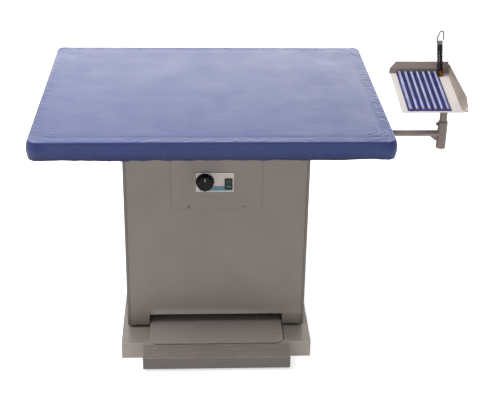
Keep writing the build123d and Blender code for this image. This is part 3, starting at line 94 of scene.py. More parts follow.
# The treadle's slot, the pale band of painted light over it where its lip catches the light, and the painted
# shade in the seams: where on the front it shows, and how far from a seam it fades out
SLOT_LEFT_X, SLOT_RIGHT_X = treadle_low.x - 0.003, treadle_high.x + 0.003
SLOT_TOP_Z = cabinet_low.z + 0.044
BAND_EDGE, BAND_FULL, BAND_TOP = 0.002, 0.008, 0.030
BAND_END, BAND_RIGHT_FADE, BAND_RIGHT_SHARE = 0.02, 0.16, 0.35
FRONT_NEAR_Y, FRONT_FAR_Y = cabinet_low.y + 0.001, cabinet_low.y + 0.004
SHADE_CORE, SHADE_SIDE, SHADE_PANEL = 0.0008, 0.0026, 0.0024

# The treadle's bend between tread and plate, and the mat's ribs with the place across each rib where its
# painted highlight lies
BEND_FRONT_Y, BEND_BACK_Y = treadle_low.y - 0.004, treadle_low.y + 0.006
MAT_RIBS, RIB_HIGHLIGHT_SHARE = 7, 0.42

# The part of a noise's values over which a finish mostly changes, and how much a coat shows its specks
SPREAD = (0.3, 0.7)
SPECK_SHARE = 0.25

# One bump of a finish: a height, how far it stands out in metres and how strong it is
Bump = namedtuple("Bump", "height depth strength")


# Shader helpers

def srgb(red, green, blue):
    """A colour as it looks on a screen, 0 to 255, as the shader takes it."""
    shares = [value / 255 for value in (red, green, blue)]
    return tuple(v / 12.92 if v <= 0.04045 else ((v + 0.055) / 1.055) ** 2.4 for v in shares) + (1.0,)


def dimmed(colour, share):
    """The colour made darker, or lighter where the share is over 1."""
    return tuple(min(1.0, v * share) for v in colour[:3]) + (1.0,)


def add(tree, kind, inputs=None, **settings):
    """A new shader node with its settings and the values of its sockets."""
    made = tree.nodes.new("ShaderNode" + kind)
    for key, value in settings.items():
        setattr(made, key, value)
    for key, value in (inputs or {}).items():
        made.inputs[key].default_value = value
    return made


def feed(tree, value, socket):
    """Links an output to a socket, or sets a plain value on it."""
    if isinstance(value, bpy.types.NodeSocket):
        tree.links.new(value, socket)
    else:
        socket.default_value = value


def spot(tree, stretch=(1, 1, 1)):
    """Places on the object in metres, stretched."""
    place = add(tree, "TexCoord")
    spread = add(tree, "Mapping", {"Scale": stretch})
    tree.links.new(place.outputs["Object"], spread.inputs["Vector"])
    return spread.outputs["Vector"]


def places(tree):
    """The X, Y and Z of places on the object, in metres."""
    made = add(tree, "SeparateXYZ")
    tree.links.new(spot(tree), made.inputs[0])
    return made.outputs


def mottle(tree, scale, detail=3.0, stretch=(1, 1, 1), rough=0.5):
    """Soft random patches; the scale is how many lie along a metre."""
    made = add(tree, "TexNoise", {"Scale": scale, "Detail": detail, "Roughness": rough})
    tree.links.new(spot(tree, stretch), made.inputs["Vector"])
    return made.outputs["Fac"]


def threads(tree, pitch, axis):
    """Rows of threads across one axis, one in each pitch."""
    made = add(tree, "TexWave", {"Scale": math.pi / 10 / pitch, "Distortion": 0.4, "Detail Scale": 2.0},
               bands_direction=axis)
    tree.links.new(spot(tree), made.inputs["Vector"])
    return made.outputs["Fac"]


def between(tree, factor, low, high, start=0.35, end=0.65):
    """Colours that run from low to high while the factor goes from start to end."""
    ramp = add(tree, "ValToRGB")
    for stop, place, colour in zip(ramp.color_ramp.elements, (start, end), (low, high)):
        stop.position, stop.color = place, colour
    tree.links.new(factor, ramp.inputs["Fac"])
    return ramp.outputs["Color"]


def ranged(tree, factor, start, end, low=0.0, high=1.0):
    """Values that run from low to high while the factor goes from start to end."""
    made = add(tree, "MapRange", {"From Min": start, "From Max": end, "To Min": low, "To Max": high})
    tree.links.new(factor, made.inputs["Value"])
    return made.outputs["Result"]


def mixed(tree, factor, first, second):
    """The first colour where the factor is 0 and the second where it is 1."""
    made = add(tree, "Mix", data_type="RGBA")
    for value, socket in zip((factor, first, second), (made.inputs[0], made.inputs[6], made.inputs[7])):
        feed(tree, value, socket)
    return made.outputs[2]


def combined(tree, how, first, second=0.0):
    """Two values put together by a sum or another operation, or one value changed by it."""
    made = add(tree, "Math", operation=how)
    feed(tree, first, made.inputs[0])
    feed(tree, second, made.inputs[1])
    return made.outputs[0]


def product(tree, first, *others):
    """Values multiplied together."""
    for other in others:
        first = combined(tree, "MULTIPLY", first, other)
    return first


def distance(tree, value, place):
    """How far a value is from a place, to either side."""
    return combined(tree, "ABSOLUTE", combined(tree, "SUBTRACT", value, place))


def upward(tree, start, end, low=0.0, high=1.0):
    """Values that run from low to high while a face turns from start to end: 0 is upright and 1 looks up."""
    facing = add(tree, "NewGeometry")
    lie = add(tree, "SeparateXYZ")
    tree.links.new(facing.outputs["Normal"], lie.inputs[0])
    return ranged(tree, lie.outputs["Z"], start, end, low, high)


def within(tree, place, left, right, bottom, top, blur):
    """1 inside an upright rectangle and 0 outside it, blurred inwards from its sides."""
    return product(
        tree,
        ranged(tree, place["X"], left, left + blur),
        ranged(tree, place["X"], right - blur, right, 1.0, 0.0),
        ranged(tree, place["Z"], bottom, bottom + blur),
        ranged(tree, place["Z"], top - blur, top, 1.0, 0.0),
    )


def rubbed(tree, width):
    """1 along sharp edges, where a finish wears through, and 0 on flat faces, broken up by patches."""
    soft = add(tree, "Bevel", {"Radius": width}, samples=6)
    hard = add(tree, "NewGeometry")
    turn = add(tree, "VectorMath", operation="DOT_PRODUCT")
    tree.links.new(soft.outputs["Normal"], turn.inputs[0])
    tree.links.new(hard.outputs["Normal"], turn.inputs[1])
    edge = ranged(tree, turn.outputs["Value"], 0.995, 0.80)
    return product(tree, edge, ranged(tree, mottle(tree, scale=55, detail=4), 0.35, 0.60, 0.25, 1.0))


def patchy(tree, colour, dark, pale, scale, detail=5, span=SPREAD, stretch=(1, 1, 1)):
    """A colour in soft patches that run from its dark to its pale share."""
    patches = mottle(tree, scale, detail, stretch)
    return between(tree, patches, dimmed(colour, dark), dimmed(colour, pale), *span)


def flecked(tree, body, colour, scale, detail, most, span=(0.4, 0.7)):
    """The body with flecks of another colour, which covers it by the most share at their middle."""
    return mixed(tree, ranged(tree, mottle(tree, scale, detail), *span, 0.0, most), body, colour)


def uneven(tree, scale, low, high, detail=4):
    """A roughness that wanders from low to high in patches."""
    return ranged(tree, mottle(tree, scale, detail), *SPREAD, low, high)


def grain(tree, scale, depth, strength, detail=2):
    """A bump of soft random grain."""
    return Bump(mottle(tree, scale, detail), depth, strength)


def started(name, **sockets):
    """A new material and its tree, with the values that are the same all over it set on its shader."""
    made = bpy.data.materials.new(name)
    made.use_nodes = True
    for key, value in sockets.items():
        shader_of(made).inputs[key.replace("_", " ")].default_value = value
    return made, made.node_tree


def shader_of(material):
    """The shader that a new material comes with."""
    return material.node_tree.nodes["Principled BSDF"]


def dressed(made, colour, rough, *bumps):
    """The material with its colour, its roughness and its bumps."""
    tree, shader = made.node_tree, shader_of(made)
    feed(tree, colour, shader.inputs["Base Color"])
    feed(tree, rough, shader.inputs["Roughness"])
    normal = None
    for bump in bumps:
        layer = add(tree, "Bump", {"Distance": bump.depth, "Strength": bump.strength})
        tree.links.new(bump.height, layer.inputs["Height"])
        if normal:
            tree.links.new(normal, layer.inputs["Normal"])
        normal = layer.outputs["Normal"]
    if normal:
        tree.links.new(normal, shader.inputs["Normal"])
    return made


# Families of finish

def painted(name, colour, bare, rough=0.42, peel=900, wear=0.0012):
    """Powder coat: fine orange peel, faint patches, and edges rubbed towards the bare metal."""
    made, tree = started(name, Coat_Weight=0.08, Coat_Roughness=0.3)
    body = patchy(tree, colour, dark=0.90, pale=1.07, scale=5)
    specks = patchy(tree, colour, dark=0.80, pale=1.10, scale=260, detail=2, span=(0.25, 0.75))
    body = mixed(tree, SPECK_SHARE, body, specks)
    body = mixed(tree, rubbed(tree, wear), body, bare)
    return dressed(made, body, uneven(tree, scale=14, low=rough - 0.06, high=rough + 0.10),
                   grain(tree, scale=peel, depth=0.0003, strength=0.25),
                   grain(tree, scale=7, depth=0.0012, strength=0.12))


def brushed(name, colour, rough=0.32, stretch=(1, 1, 1)):
    """Bare metal: fine drawn lines, dull patches and brighter edges."""
    made, tree = started(name, Metallic=1.0)
    lines = mottle(tree, scale=700, detail=3, stretch=stretch)
    patches = mottle(tree, scale=22, detail=5)
    body = between(tree, patches, dimmed(colour, 0.75), colour, start=0.30, end=0.62)
    body = mixed(tree, ranged(tree, lines, *SPREAD, 0.0, 0.35), body, dimmed(colour, 0.72))
    body = mixed(tree, rubbed(tree, width=0.0008), body, dimmed(colour, 1.25))
    return dressed(made, body, ranged(tree, patches, *SPREAD, rough + 0.14, rough),
                   Bump(lines, depth=0.0002, strength=0.3))


def moulded(name, colour, rough=0.35, texture=1500, strength=0.3, shine=0.5):
    """Moulded plastic or rubber: fine texture, dust in patches and edges polished by hands."""
    made, tree = started(name, Specular_IOR_Level=shine)
    dust = mottle(tree, scale=40, detail=5)
    body = between(tree, dust, colour, dimmed(colour, 1.6), start=0.45, end=0.85)
    body = mixed(tree, rubbed(tree, width=0.0008), body, dimmed(colour, 2.4))
    return dressed(made, body, ranged(tree, dust, 0.3, 0.8, rough, rough + 0.2),
                   grain(tree, scale=texture, depth=0.0002, strength=strength))


# Finishes: one for each of the record's material slots, then the dial's print and the studio floor

def cover_cloth():
    """Blue coated cotton: fine weave, crosswise ripples, faint patches, a stitched hem and a soft sheen."""
    made, tree = started("cover_cloth", Sheen_Weight=0.03, Sheen_Roughness=0.4,
                         Sheen_Tint=(0.80, 0.84, 1.0, 1.0), Specular_IOR_Level=0.3)
    blue, lit_blue = srgb(44, 57, 108), srgb(96, 109, 166)
    place = places(tree)
    weave = product(tree, threads(tree, THREAD_PITCH, "X"), threads(tree, THREAD_PITCH, "Y"))
    body = patchy(tree, blue, dark=0.93, pale=1.07, scale=3.5, span=(0.28, 0.72))
    # Painted light: faces that look up are painted lighter, towards lit_blue.
    body = mixed(tree, upward(tree, start=0.5, end=0.97, high=0.40), body, lit_blue)
    # Painted shade: faces that look down, under the board, are painted darker.
    body = mixed(tree, upward(tree, start=-0.8, end=-0.2, low=0.6, high=0.0), body, dimmed(blue, 0.3))
    hem = ranged(tree, place["Z"], HEM_FADE_LOW_Z, HEM_FADE_HIGH_Z, 0.9, 0.0)
    body = mixed(tree, hem, body, dimmed(blue, 0.25))
    body = mixed(tree, ranged(tree, weave, 0.1, 0.7, 0.0, 0.28), body, dimmed(blue, 0.62))
    body = flecked(tree, body, dimmed(blue, 1.35), scale=420, detail=2, most=0.22)
    seam = ranged(tree, distance(tree, place["Z"], HEM_SEAM_Z), SEAM_HALF_IN, SEAM_HALF_OUT, 1.0, 0.0)
    along = combined(tree, "ADD", place["X"], place["Y"])
    count = combined(tree, "FRACT", product(tree, along, STITCHES_PER_METRE))
    dash = combined(tree, "GREATER_THAN", count, STITCH_GAP_SHARE)
    body = mixed(tree, seam, body, dimmed(blue, 0.45))
    body = mixed(tree, product(tree, seam, dash), body, dimmed(blue, 1.3))
    ripples = mottle(tree, scale=6.0, detail=3, stretch=(0.6, 9.0, 4.0))
    return dressed(made, body, uneven(tree, scale=9, low=0.38, high=0.48),
                   Bump(ripples, depth=0.0022, strength=0.14),
                   grain(tree, scale=16, depth=0.0015, strength=0.12, detail=3),
                   Bump(product(tree, seam, -1.0), depth=0.0012, strength=0.6),
                   Bump(weave, depth=0.0003, strength=0.35),
                   Bump(threads(tree, THREAD_PITCH, "Z"), depth=0.0002, strength=0.2))


def felt():
    """Thick pressed felt with loose fibres."""
    made, tree = started("felt", Sheen_Weight=0.5)
    pale = srgb(212, 207, 196)
    fibre = mottle(tree, scale=500, detail=6, stretch=(1, 3, 1), rough=0.7)
    return dressed(made, between(tree, fibre, dimmed(pale, 0.72), pale), 0.95,
                   Bump(fibre, depth=0.0006, strength=0.6),
                   grain(tree, scale=30, depth=0.001, strength=0.3, detail=4))


def aluminium_plate():
    return brushed("aluminium_plate", srgb(205, 207, 212), rough=0.28, stretch=(0.02, 1, 1))


def galvanised():
    """Zinc-dipped sheet with its spangle of crystals."""
    made, tree = started("galvanised", Metallic=1.0)
    zinc_grey, dull, bright = srgb(180, 184, 188), srgb(150, 150, 148), srgb(225, 226, 228)
    crystal = add(tree, "TexVoronoi", {"Scale": 130.0})
    tree.links.new(spot(tree), crystal.inputs["Vector"])
    tone = add(tree, "SeparateXYZ")
    tree.links.new(crystal.outputs["Color"], tone.inputs[0])
    body = between(tree, tone.outputs["X"], dimmed(zinc_grey, 0.68), dimmed(zinc_grey, 1.08), 0.1, 0.9)
    body = flecked(tree, body, dull, scale=12, detail=5, most=0.5, span=(0.45, 0.75))
    body = mixed(tree, rubbed(tree, width=0.001), body, bright)
    return dressed(made, body, ranged(tree, tone.outputs["Y"], 0.0, 1.0, 0.30, 0.52),
                   Bump(crystal.outputs["Distance"], depth=0.0002, strength=0.25))


def element_steel():
    """Heater tube, blued and browned by heat."""
    made, tree = started("element_steel", Metallic=0.85)
    blued, browned, scale_grey = srgb(92, 84, 88), srgb(128, 108, 86), srgb(60, 56, 60)
    tint = mottle(tree, scale=9, detail=5)
    body = between(tree, tint, blued, browned)
    body = flecked(tree, body, scale_grey, scale=180, detail=3, most=0.5)
    return dressed(made, body, ranged(tree, tint, *SPREAD, 0.38, 0.58),
                   grain(tree, scale=600, depth=0.0002, strength=0.3, detail=3))


def lip_light_band(tree, place):
    """The pale band of painted light over the treadle's slot, where its lip catches the light: it fades
    upwards and to both ends, in patches.
    """
    return product(
        tree,
        ranged(tree, place["Z"], SLOT_TOP_Z - BAND_EDGE, SLOT_TOP_Z),
        ranged(tree, place["Z"], SLOT_TOP_Z + BAND_FULL, SLOT_TOP_Z + BAND_TOP, 1.0, 0.0),
        ranged(tree, place["X"], SLOT_LEFT_X, SLOT_LEFT_X + BAND_END),
        ranged(tree, place["X"], SLOT_RIGHT_X - BAND_RIGHT_FADE, SLOT_RIGHT_X - BAND_END, 1.0,
               BAND_RIGHT_SHARE),
        ranged(tree, mottle(tree, scale=26, detail=4, stretch=(0.4, 1, 1)), 0.3, 0.6, 0.55, 0.85),
    )


def taupe_paint():
    """The cabinet's coat, with a pale band of painted light over the treadle's slot, and painted shade down
    the front panel's sides and round the control panel."""
    made = painted("taupe_paint", srgb(122, 113, 106), bare=srgb(170, 161, 151))
    lip_light_pale, seam_shade_dark = srgb(163, 153, 146), srgb(62, 54, 50)
    tree, outcome = made.node_tree, shader_of(made).inputs["Base Color"]
    place = places(tree)
    front = ranged(tree, place["Y"], FRONT_NEAR_Y, FRONT_FAR_Y, 1.0, 0.0)
    # Painted light: a pale band over the treadle's slot, where its lip catches the light.
    band = product(tree, lip_light_band(tree, place), front)
    coat = mixed(tree, band, outcome.links[0].from_socket, lip_light_pale)
    # Painted shade: darker lines down the front panel's sides, in the seams beside the corner posts.
    for edge in (cabinet_low.x, cabinet_high.x):
        seam = ranged(tree, distance(tree, place["X"], edge), SHADE_CORE, SHADE_SIDE, 0.75, 0.0)
        coat = mixed(tree, product(tree, seam, front), coat, seam_shade_dark)
    # Painted shade: a faint darker line round the control panel's sides and bottom, where it stands proud.
    middle, half = (panel_low.x + panel_high.x) / 2, (panel_high.x - panel_low.x) / 2
    aside = combined(tree, "SUBTRACT", distance(tree, place["X"], middle), half)
    below = combined(tree, "SUBTRACT", panel_low.z, place["Z"])
    away = combined(tree, "ABSOLUTE", combined(tree, "MAXIMUM", aside, below))
    seam = ranged(tree, away, SHADE_CORE, SHADE_PANEL, 0.30, 0.0)
    feed(tree, mixed(tree, product(tree, seam, front), coat, seam_shade_dark), outcome)
    return made


def zinc():
    return brushed("zinc", srgb(122, 118, 112), rough=0.42, stretch=(1, 1, 0.05))


def dark_board():
    """Resin-faced ply board with a faint grain."""
    made, tree = started("dark_board")
    dark = srgb(66, 60, 56)
    figure = mottle(tree, scale=40, detail=6, stretch=(0.6, 14, 14), rough=0.6)
    return dressed(made, between(tree, figure, dimmed(dark, 0.6), dimmed(dark, 1.25), *SPREAD),
                   ranged(tree, figure, *SPREAD, 0.42, 0.6), Bump(figure, depth=0.0004, strength=0.3))


def dark_metal():
    return painted("dark_metal", srgb(52, 52, 55), bare=srgb(130, 128, 124), rough=0.40)


def black_plastic():
    return moulded("black_plastic", srgb(15, 16, 18), rough=0.40, shine=0.25)


def fascia_plastic():
    """Light grey plate: a pale rim, a margin in the cabinet's colour and a teal field low beside the knob."""
    made, tree = started("fascia_plastic", Coat_Weight=0.3, Coat_Roughness=0.15)
    grey, teal = srgb(186, 177, 172), srgb(48, 100, 110)
    rim, margin = srgb(214, 209, 205), srgb(126, 117, 110)
    place = places(tree)
    body = patchy(tree, grey, dark=0.90, pale=1.05, scale=30)
    field = within(tree, place, TEAL_LEFT_X, TEAL_RIGHT_X, TEAL_BOTTOM_Z, TEAL_TOP_Z, TEAL_BLUR)
    shade = patchy(tree, teal, dark=0.85, pale=1.2, scale=90, detail=3, span=(0.35, 0.65))
    body = mixed(tree, field, body, shade)
    for inset, outside in ((PRINT_RIM, rim), (0.0, margin)):
        inside = within(tree, place, PRINT_LEFT_X + inset, PRINT_RIGHT_X - inset,
                        PRINT_BOTTOM_Z + inset, PRINT_TOP_Z - inset, PRINT_BLUR)
        body = mixed(tree, inside, outside, body)
    return dressed(made, body, uneven(tree, scale=50, low=0.28, high=0.42),
                   grain(tree, scale=1200, depth=0.0001, strength=0.25))


def thermostat_metal():
    return brushed("thermostat_metal", srgb(178, 178, 172), rough=0.33)


def knob_plastic():
    return moulded("knob_plastic", srgb(9, 9, 12), rough=0.30, texture=1800, strength=0.15, shine=0.15)


def rocker_green():
    """Dark green translucent-looking rocker, paler towards its lower end."""
    made, tree = started("rocker_green", Coat_Weight=0.1, Coat_Roughness=0.12, Specular_IOR_Level=0.3)
    deep, pale = srgb(10, 34, 30), srgb(78, 128, 112)
    rise = ranged(tree, places(tree)["Z"], rocker_low.z, rocker_high.z)
    body = between(tree, rise, pale, deep, start=0.12, end=0.42)
    body = flecked(tree, body, dimmed(deep, 2.0), scale=200, detail=3, most=0.2)
    body = mixed(tree, rubbed(tree, width=0.0006), body, dimmed(pale, 1.2))
    return dressed(made, body, uneven(tree, scale=70, low=0.18, high=0.32),
                   grain(tree, scale=900, depth=0.0001, strength=0.2))


def base_paint():
    return painted("base_paint", srgb(151, 142, 134), bare=srgb(184, 176, 167), rough=0.44, wear=0.002)


def black_rubber():
    return moulded("black_rubber", srgb(30, 30, 31), rough=0.7, texture=900, strength=0.5)


def motor_paint():
    return painted("motor_paint", srgb(70, 82, 94), bare=srgb(120, 124, 126), rough=0.36, peel=400)


def cast_aluminium():
    """Sand-cast impeller metal."""
    made, tree = started("cast_aluminium", Metallic=1.0)
    pale = srgb(186, 188, 190)
    grit = mottle(tree, scale=380, detail=5, rough=0.7)
    return dressed(made, between(tree, grit, dimmed(pale, 0.7), pale, start=0.3, end=0.65),
                   ranged(tree, grit, *SPREAD, 0.58, 0.40), Bump(grit, depth=0.0004, strength=0.5))


def treadle_paint():
    """Coat scuffed by shoes; painted light makes faces that look up paler, with a painted highlight behind the
    tread's bend, and painted shade darkens its upright faces.
    """
    made, tree = started("treadle_paint", Coat_Weight=0.06, Coat_Roughness=0.35)
    colour, lit_pale = srgb(108, 100, 94), srgb(172, 162, 156)
    scuffed, bare = srgb(178, 170, 163), srgb(186, 180, 172)
    body = patchy(tree, colour, dark=0.88, pale=1.10, scale=5)
    lit_and_trodden = upward(tree, start=0.4, end=0.9)
    # Painted shade: upright faces are painted darker.
    body = mixed(tree, lit_and_trodden, mixed(tree, 0.55, body, dimmed(colour, 0.5)), body)
    behind = ranged(tree, places(tree)["Y"], BEND_FRONT_Y, BEND_BACK_Y, 0.25, 0.65)
    # Painted light: faces that look up are painted paler, with a painted highlight behind the tread's bend.
    body = mixed(tree, product(tree, lit_and_trodden, behind), body, lit_pale)
    streaks = mottle(tree, scale=30, detail=6, stretch=(0.35, 3.5, 3.5), rough=0.65)
    scuff = ranged(tree, streaks, 0.56, 0.70, 0.0, 0.6)
    scuff = product(tree, scuff, combined(tree, "MAXIMUM", lit_and_trodden, 0.15))
    body = mixed(tree, scuff, body, scuffed)
    body = mixed(tree, rubbed(tree, width=0.002), body, bare)
    return dressed(made, body, ranged(tree, scuff, 0.0, 0.6, 0.46, 0.32),
                   grain(tree, scale=900, depth=0.0003, strength=0.25),
                   grain(tree, scale=10, depth=0.0012, strength=0.15))


def bronze():
    return brushed("bronze", srgb(176, 136, 84), rough=0.40)


def spring_steel():
    return brushed("spring_steel", srgb(150, 150, 154), rough=0.30)


def arm_paint():
    return painted("arm_paint", srgb(124, 112, 105), bare=srgb(170, 160, 150), rough=0.40, wear=0.0015)


def tray_paint():
    """Folded sheet with a brown coat; faces that look up, its floor most of all, are painted near white as a
    painted reflection of the bright surroundings.
    """
    made, tree = started("tray_paint", Coat_Weight=0.1, Coat_Roughness=0.25)
    brown, reflected_cream, bare = srgb(157, 143, 135), srgb(236, 228, 224), srgb(176, 160, 146)
    walls = patchy(tree, brown, dark=0.85, pale=1.12, scale=12)
    bright = patchy(tree, reflected_cream, dark=0.86, pale=1.0, scale=18, span=(0.3, 0.6), stretch=(1, 0.3, 1))
    # Painted reflection: faces that look up, the floor most of all, are painted near white.
    body = mixed(tree, upward(tree, start=0.80, end=0.95), walls, bright)
    body = mixed(tree, rubbed(tree, width=0.0015), body, bare)
    return dressed(made, body, uneven(tree, scale=25, low=0.28, high=0.42),
                   grain(tree, scale=800, depth=0.0002, strength=0.25))


def mat_rubber():
    """Ribbed silicone mat, deep blue, with a pale painted highlight along each rib's top."""
    made, tree = started("mat_rubber", Coat_Weight=0.35, Coat_Roughness=0.25)
    blue, rib_highlight_blue = srgb(40, 44, 112), srgb(206, 208, 240)
    body = patchy(tree, blue, dark=0.8, pale=1.2, scale=25)
    across = combined(tree, "SUBTRACT", places(tree)["X"], mat_low.x)
    rib = combined(tree, "FRACT", product(tree, across, MAT_RIBS / (mat_high.x - mat_low.x)))
    # Painted highlight: a pale stripe along each rib's top, a little off its middle.
    top = product(
        tree,
        ranged(tree, distance(tree, rib, RIB_HIGHLIGHT_SHARE), 0.10, 0.27, 0.90, 0.0),
        upward(tree, start=0.80, end=0.94),
        ranged(tree, mottle(tree, scale=30, detail=3, stretch=(1, 0.5, 1)), 0.3, 0.6, 0.6, 1.0),
    )
    return dressed(made, mixed(tree, top, body, rib_highlight_blue), uneven(tree, scale=60, low=0.25, high=0.42),
                   grain(tree, scale=900, depth=0.0002, strength=0.3))


def bright_brass():
    return brushed("bright_brass", srgb(140, 104, 58), rough=0.36)


def dark_spring():
    return brushed("dark_spring", srgb(60, 56, 60), rough=0.55)


def hook_wire():
    return brushed("hook_wire", srgb(142, 132, 124), rough=0.50)


def dial_print():
    """White dial print, a little rubbed."""
    made, tree = started("dial_print")
    white = srgb(226, 224, 218)
    body = patchy(tree, white, dark=0.75, pale=1.0, scale=300, detail=3, span=(0.35, 0.65))
    return dressed(made, body, 0.5, grain(tree, scale=1500, depth=0.0001, strength=0.2))


def floor_white():
    """Studio floor, lit a little from within so that it stays white."""
    made, tree = started("floor_white", Emission_Color=(1.0, 1.0, 1.0, 1.0), Emission_Strength=0.66)
    pale = (0.90, 0.90, 0.90, 1.0)
    return dressed(made, patchy(tree, pale, dark=0.98, pale=1.0, scale=0.8, detail=3, span=(0.35, 0.65)), 0.9)


FINISHES = (
    cover_cloth, felt, aluminium_plate, galvanised, element_steel, taupe_paint, zinc, dark_board, dark_metal,
    black_plastic, fascia_plastic, thermostat_metal, knob_plastic, rocker_green, base_paint, black_rubber,
    motor_paint, cast_aluminium, treadle_paint, bronze, spring_steel, arm_paint, tray_paint, mat_rubber,
    bright_brass, dark_spring, hook_wire, dial_print, floor_white,
)


# Mesh helpers

def new_piece(name, verts, faces, finish, smooth=True):
    """An object made from vertices and faces, with its finish."""
    mesh = bpy.data.meshes.new(name)
    mesh.from_pydata([tuple(v) for v in verts], [], faces)
    mesh.validate()
    if smooth:
        mesh.polygons.foreach_set("use_smooth", [True] * len(mesh.polygons))
    made = bpy.data.objects.new(name, mesh)
    bpy.context.collection.objects.link(made)
    mesh.materials.append(finishes[finish])
    return made


def track(half_x, half_y, radius, step):
    """A course round a rectangle with round corners, counter-clockwise. It gives for each point a place on
    the inner rectangle and the outward direction, then the inner half sizes and the number of each
    corner's middle point."""
    core, out, splits = [], [], []
    inner_x, inner_y = half_x - radius, half_y - radius
    corners = [(inner_x, inner_y, 0.0), (-inner_x, inner_y, 90.0), (-inner_x, -inner_y, 180.0),
               (inner_x, -inner_y, 270.0)]
    turns = 2 * max(3, round(radius * math.pi / 4 / step))
    for k, (x, y, start) in enumerate(corners):
        splits.append(len(core) + turns // 2)
        for i in range(turns + 1):
            angle = math.radians(start + 90.0 * i / turns)
            core.append((x, y))
            out.append((math.cos(angle), math.sin(angle)))
        next_x, next_y = corners[(k + 1) % 4][:2]
        count = max(2, round(math.hypot(next_x - x, next_y - y) / step))
        for i in range(1, count):
            core.append((x + (next_x - x) * i / count, y + (next_y - y) * i / count))
            out.append(out[-1])
    return np.array(core), np.array(out), inner_x, inner_y, splits


def ring(course, radius, inset, kept=0.02):
    """The points of a track at a distance in from its outer edge; its corners keep a least radius."""
    core, out, inner_x, inner_y = course[:4]
    if inset <= radius - kept:
        return core + out * (radius - inset)
    shrink = inset - (radius - kept)
    scale = np.array([(inner_x - shrink) / inner_x, (inner_y - shrink) / inner_y])
    return core * scale + out * kept * scale.min()


def filling(edge, splits, first):
    """A grid that fills a ring of points: its new vertices, numbered from first, and its faces."""
    count = len(edge)
    wide, deep = splits[3] - splits[2], splits[0] + count - splits[3]
    low_side = [(splits[2] + i) % count for i in range(wide + 1)]
    top_side = [(splits[1] - i) % count for i in range(wide + 1)]
    left_side = [(splits[2] - i) % count for i in range(deep + 1)]
    right_side = [(splits[3] + i) % count for i in range(deep + 1)]
    grid = np.zeros((wide + 1, deep + 1), int)
    grid[:, 0], grid[:, deep], grid[0, :], grid[wide, :] = low_side, top_side, left_side, right_side
    verts = []
    for a in range(1, wide):
        for b in range(1, deep):
            u, v = a / wide, b / deep
            grid[a, b] = first + len(verts)
            verts.append(
                edge[low_side[a]] * (1 - v) + edge[top_side[a]] * v
                + edge[left_side[b]] * (1 - u) + edge[right_side[b]] * u
                - edge[low_side[0]] * (1 - u) * (1 - v) - edge[low_side[-1]] * u * (1 - v)
                - edge[top_side[0]] * (1 - u) * v - edge[top_side[-1]] * u * v)
    faces = [(grid[a, b], grid[a + 1, b], grid[a + 1, b + 1], grid[a, b + 1])
             for a in range(wide) for b in range(deep)]
    return np.array(verts), [tuple(int(i) for i in face) for face in faces]


def shell(course, radius, profile, closed=False):
    """Vertices and faces of rings round the board's middle that follow a profile of (inset, height) pairs.
    The first ring is filled by a grid, and the last one too where the shell is closed."""
    rings = []
    for inset, height in profile:
        flat = ring(course, radius, inset) + (BOARD_X, BOARD_Y)
        rings.append(np.column_stack([flat, np.full(len(flat), height)]))
    count, total = len(rings[0]), len(rings[0]) * len(rings)
    middle, faces = filling(rings[0], course[4], total)
    for k in range(len(rings) - 1):
        for i in range(count):
            j = (i + 1) % count
            faces.append((k * count + i, (k + 1) * count + i, (k + 1) * count + j, k * count + j))
    blocks = rings + [middle]
    if closed:
        below, under = filling(rings[-1], course[4], total + len(middle))
        shift = total - count
        faces += [tuple(i if i >= total else i + shift for i in reversed(face)) for face in under]
        blocks.append(below)
    return np.vstack(blocks), faces, count


def arc(inset, height, radius, start, end, parts):
    """Profile points on an arc; angles in degrees from straight out, positive upwards."""
    points = []
    for i in range(1, parts):
        angle = math.radians(start + (end - start) * i / parts)
        points.append((inset - radius * math.cos(angle), height + radius * math.sin(angle)))
    return points


def eased(share):
    """A share from 0 to 1 that starts and ends gently."""
    return share * share * (3 - 2 * share)


# Board cover: one cloth, tight on the pad, drawn in under the board by its hem. First the radii of its upper
# and lower edges and of its corners, and how far its hem reaches in; then its thickness, the length of its
# mesh's steps, and the rows of its mesh from the top's first ring to the hem.
EDGE_R, HEM_R, COVER_R, LIP = 0.004, 0.004, 0.032, 0.030
CLOTH_T = 0.0020
COVER_STEP = 0.0095
TOP_INSET, TOP_GAP, TOP_ROWS = 0.093, 0.007, 13
EDGE_ROWS, WALL_ROWS, HEM_ROWS, LIP_ROWS = 5, 8, 3, 5

# How the loose cloth lies before it settles: how many waves lie along a metre, how far they stand out from
# the skirt and hang down from it, and what the corners' pleats and bags add within their reach
SLOW_WAVES, QUICK_WAVES, SLOW_SEED, QUICK_SEED = 7, 24, 3.1, 8.7
OUT_SLOW, OUT_QUICK, OUT_PLEAT, OUT_BAG = 0.0016, 0.0008, 0.0012, 0.0050
DOWN_SLOW, DOWN_QUICK, DOWN_CORNER = 0.0034, 0.0028, 0.0038
PLEATS, PLEAT_SHARE, BAG_REACH_SHARE, UNDER_SHARE = 9.0, 0.4, 1.15, 0.3
CORNER_REACH = 0.035

# How it settles: frames, how far a point moves at most and moves inwards at most, the stretch of the top over
# which it becomes held, the gap it keeps to the block, and what counts as level or at the hem
SETTLE_FRAMES, MOST_MOVED, MOST_SUNK = 18, 0.0035, 0.0007
HELD_FROM, HELD_OVER = 0.005, 0.085
CLOTH_GAP, NEAR = 0.001, 0.0005

# The pad under the cover, and the block that stands in for pad and board while the cloth settles
PAD_R, PAD_STEP, PAD_INSET = COVER_R - 0.0035, 0.02, 0.02
PAD_DROP, PAD_ROWS = 0.0004, 6
BLOCK_RISE, BLOCK_EDGE = 0.0028, 0.006


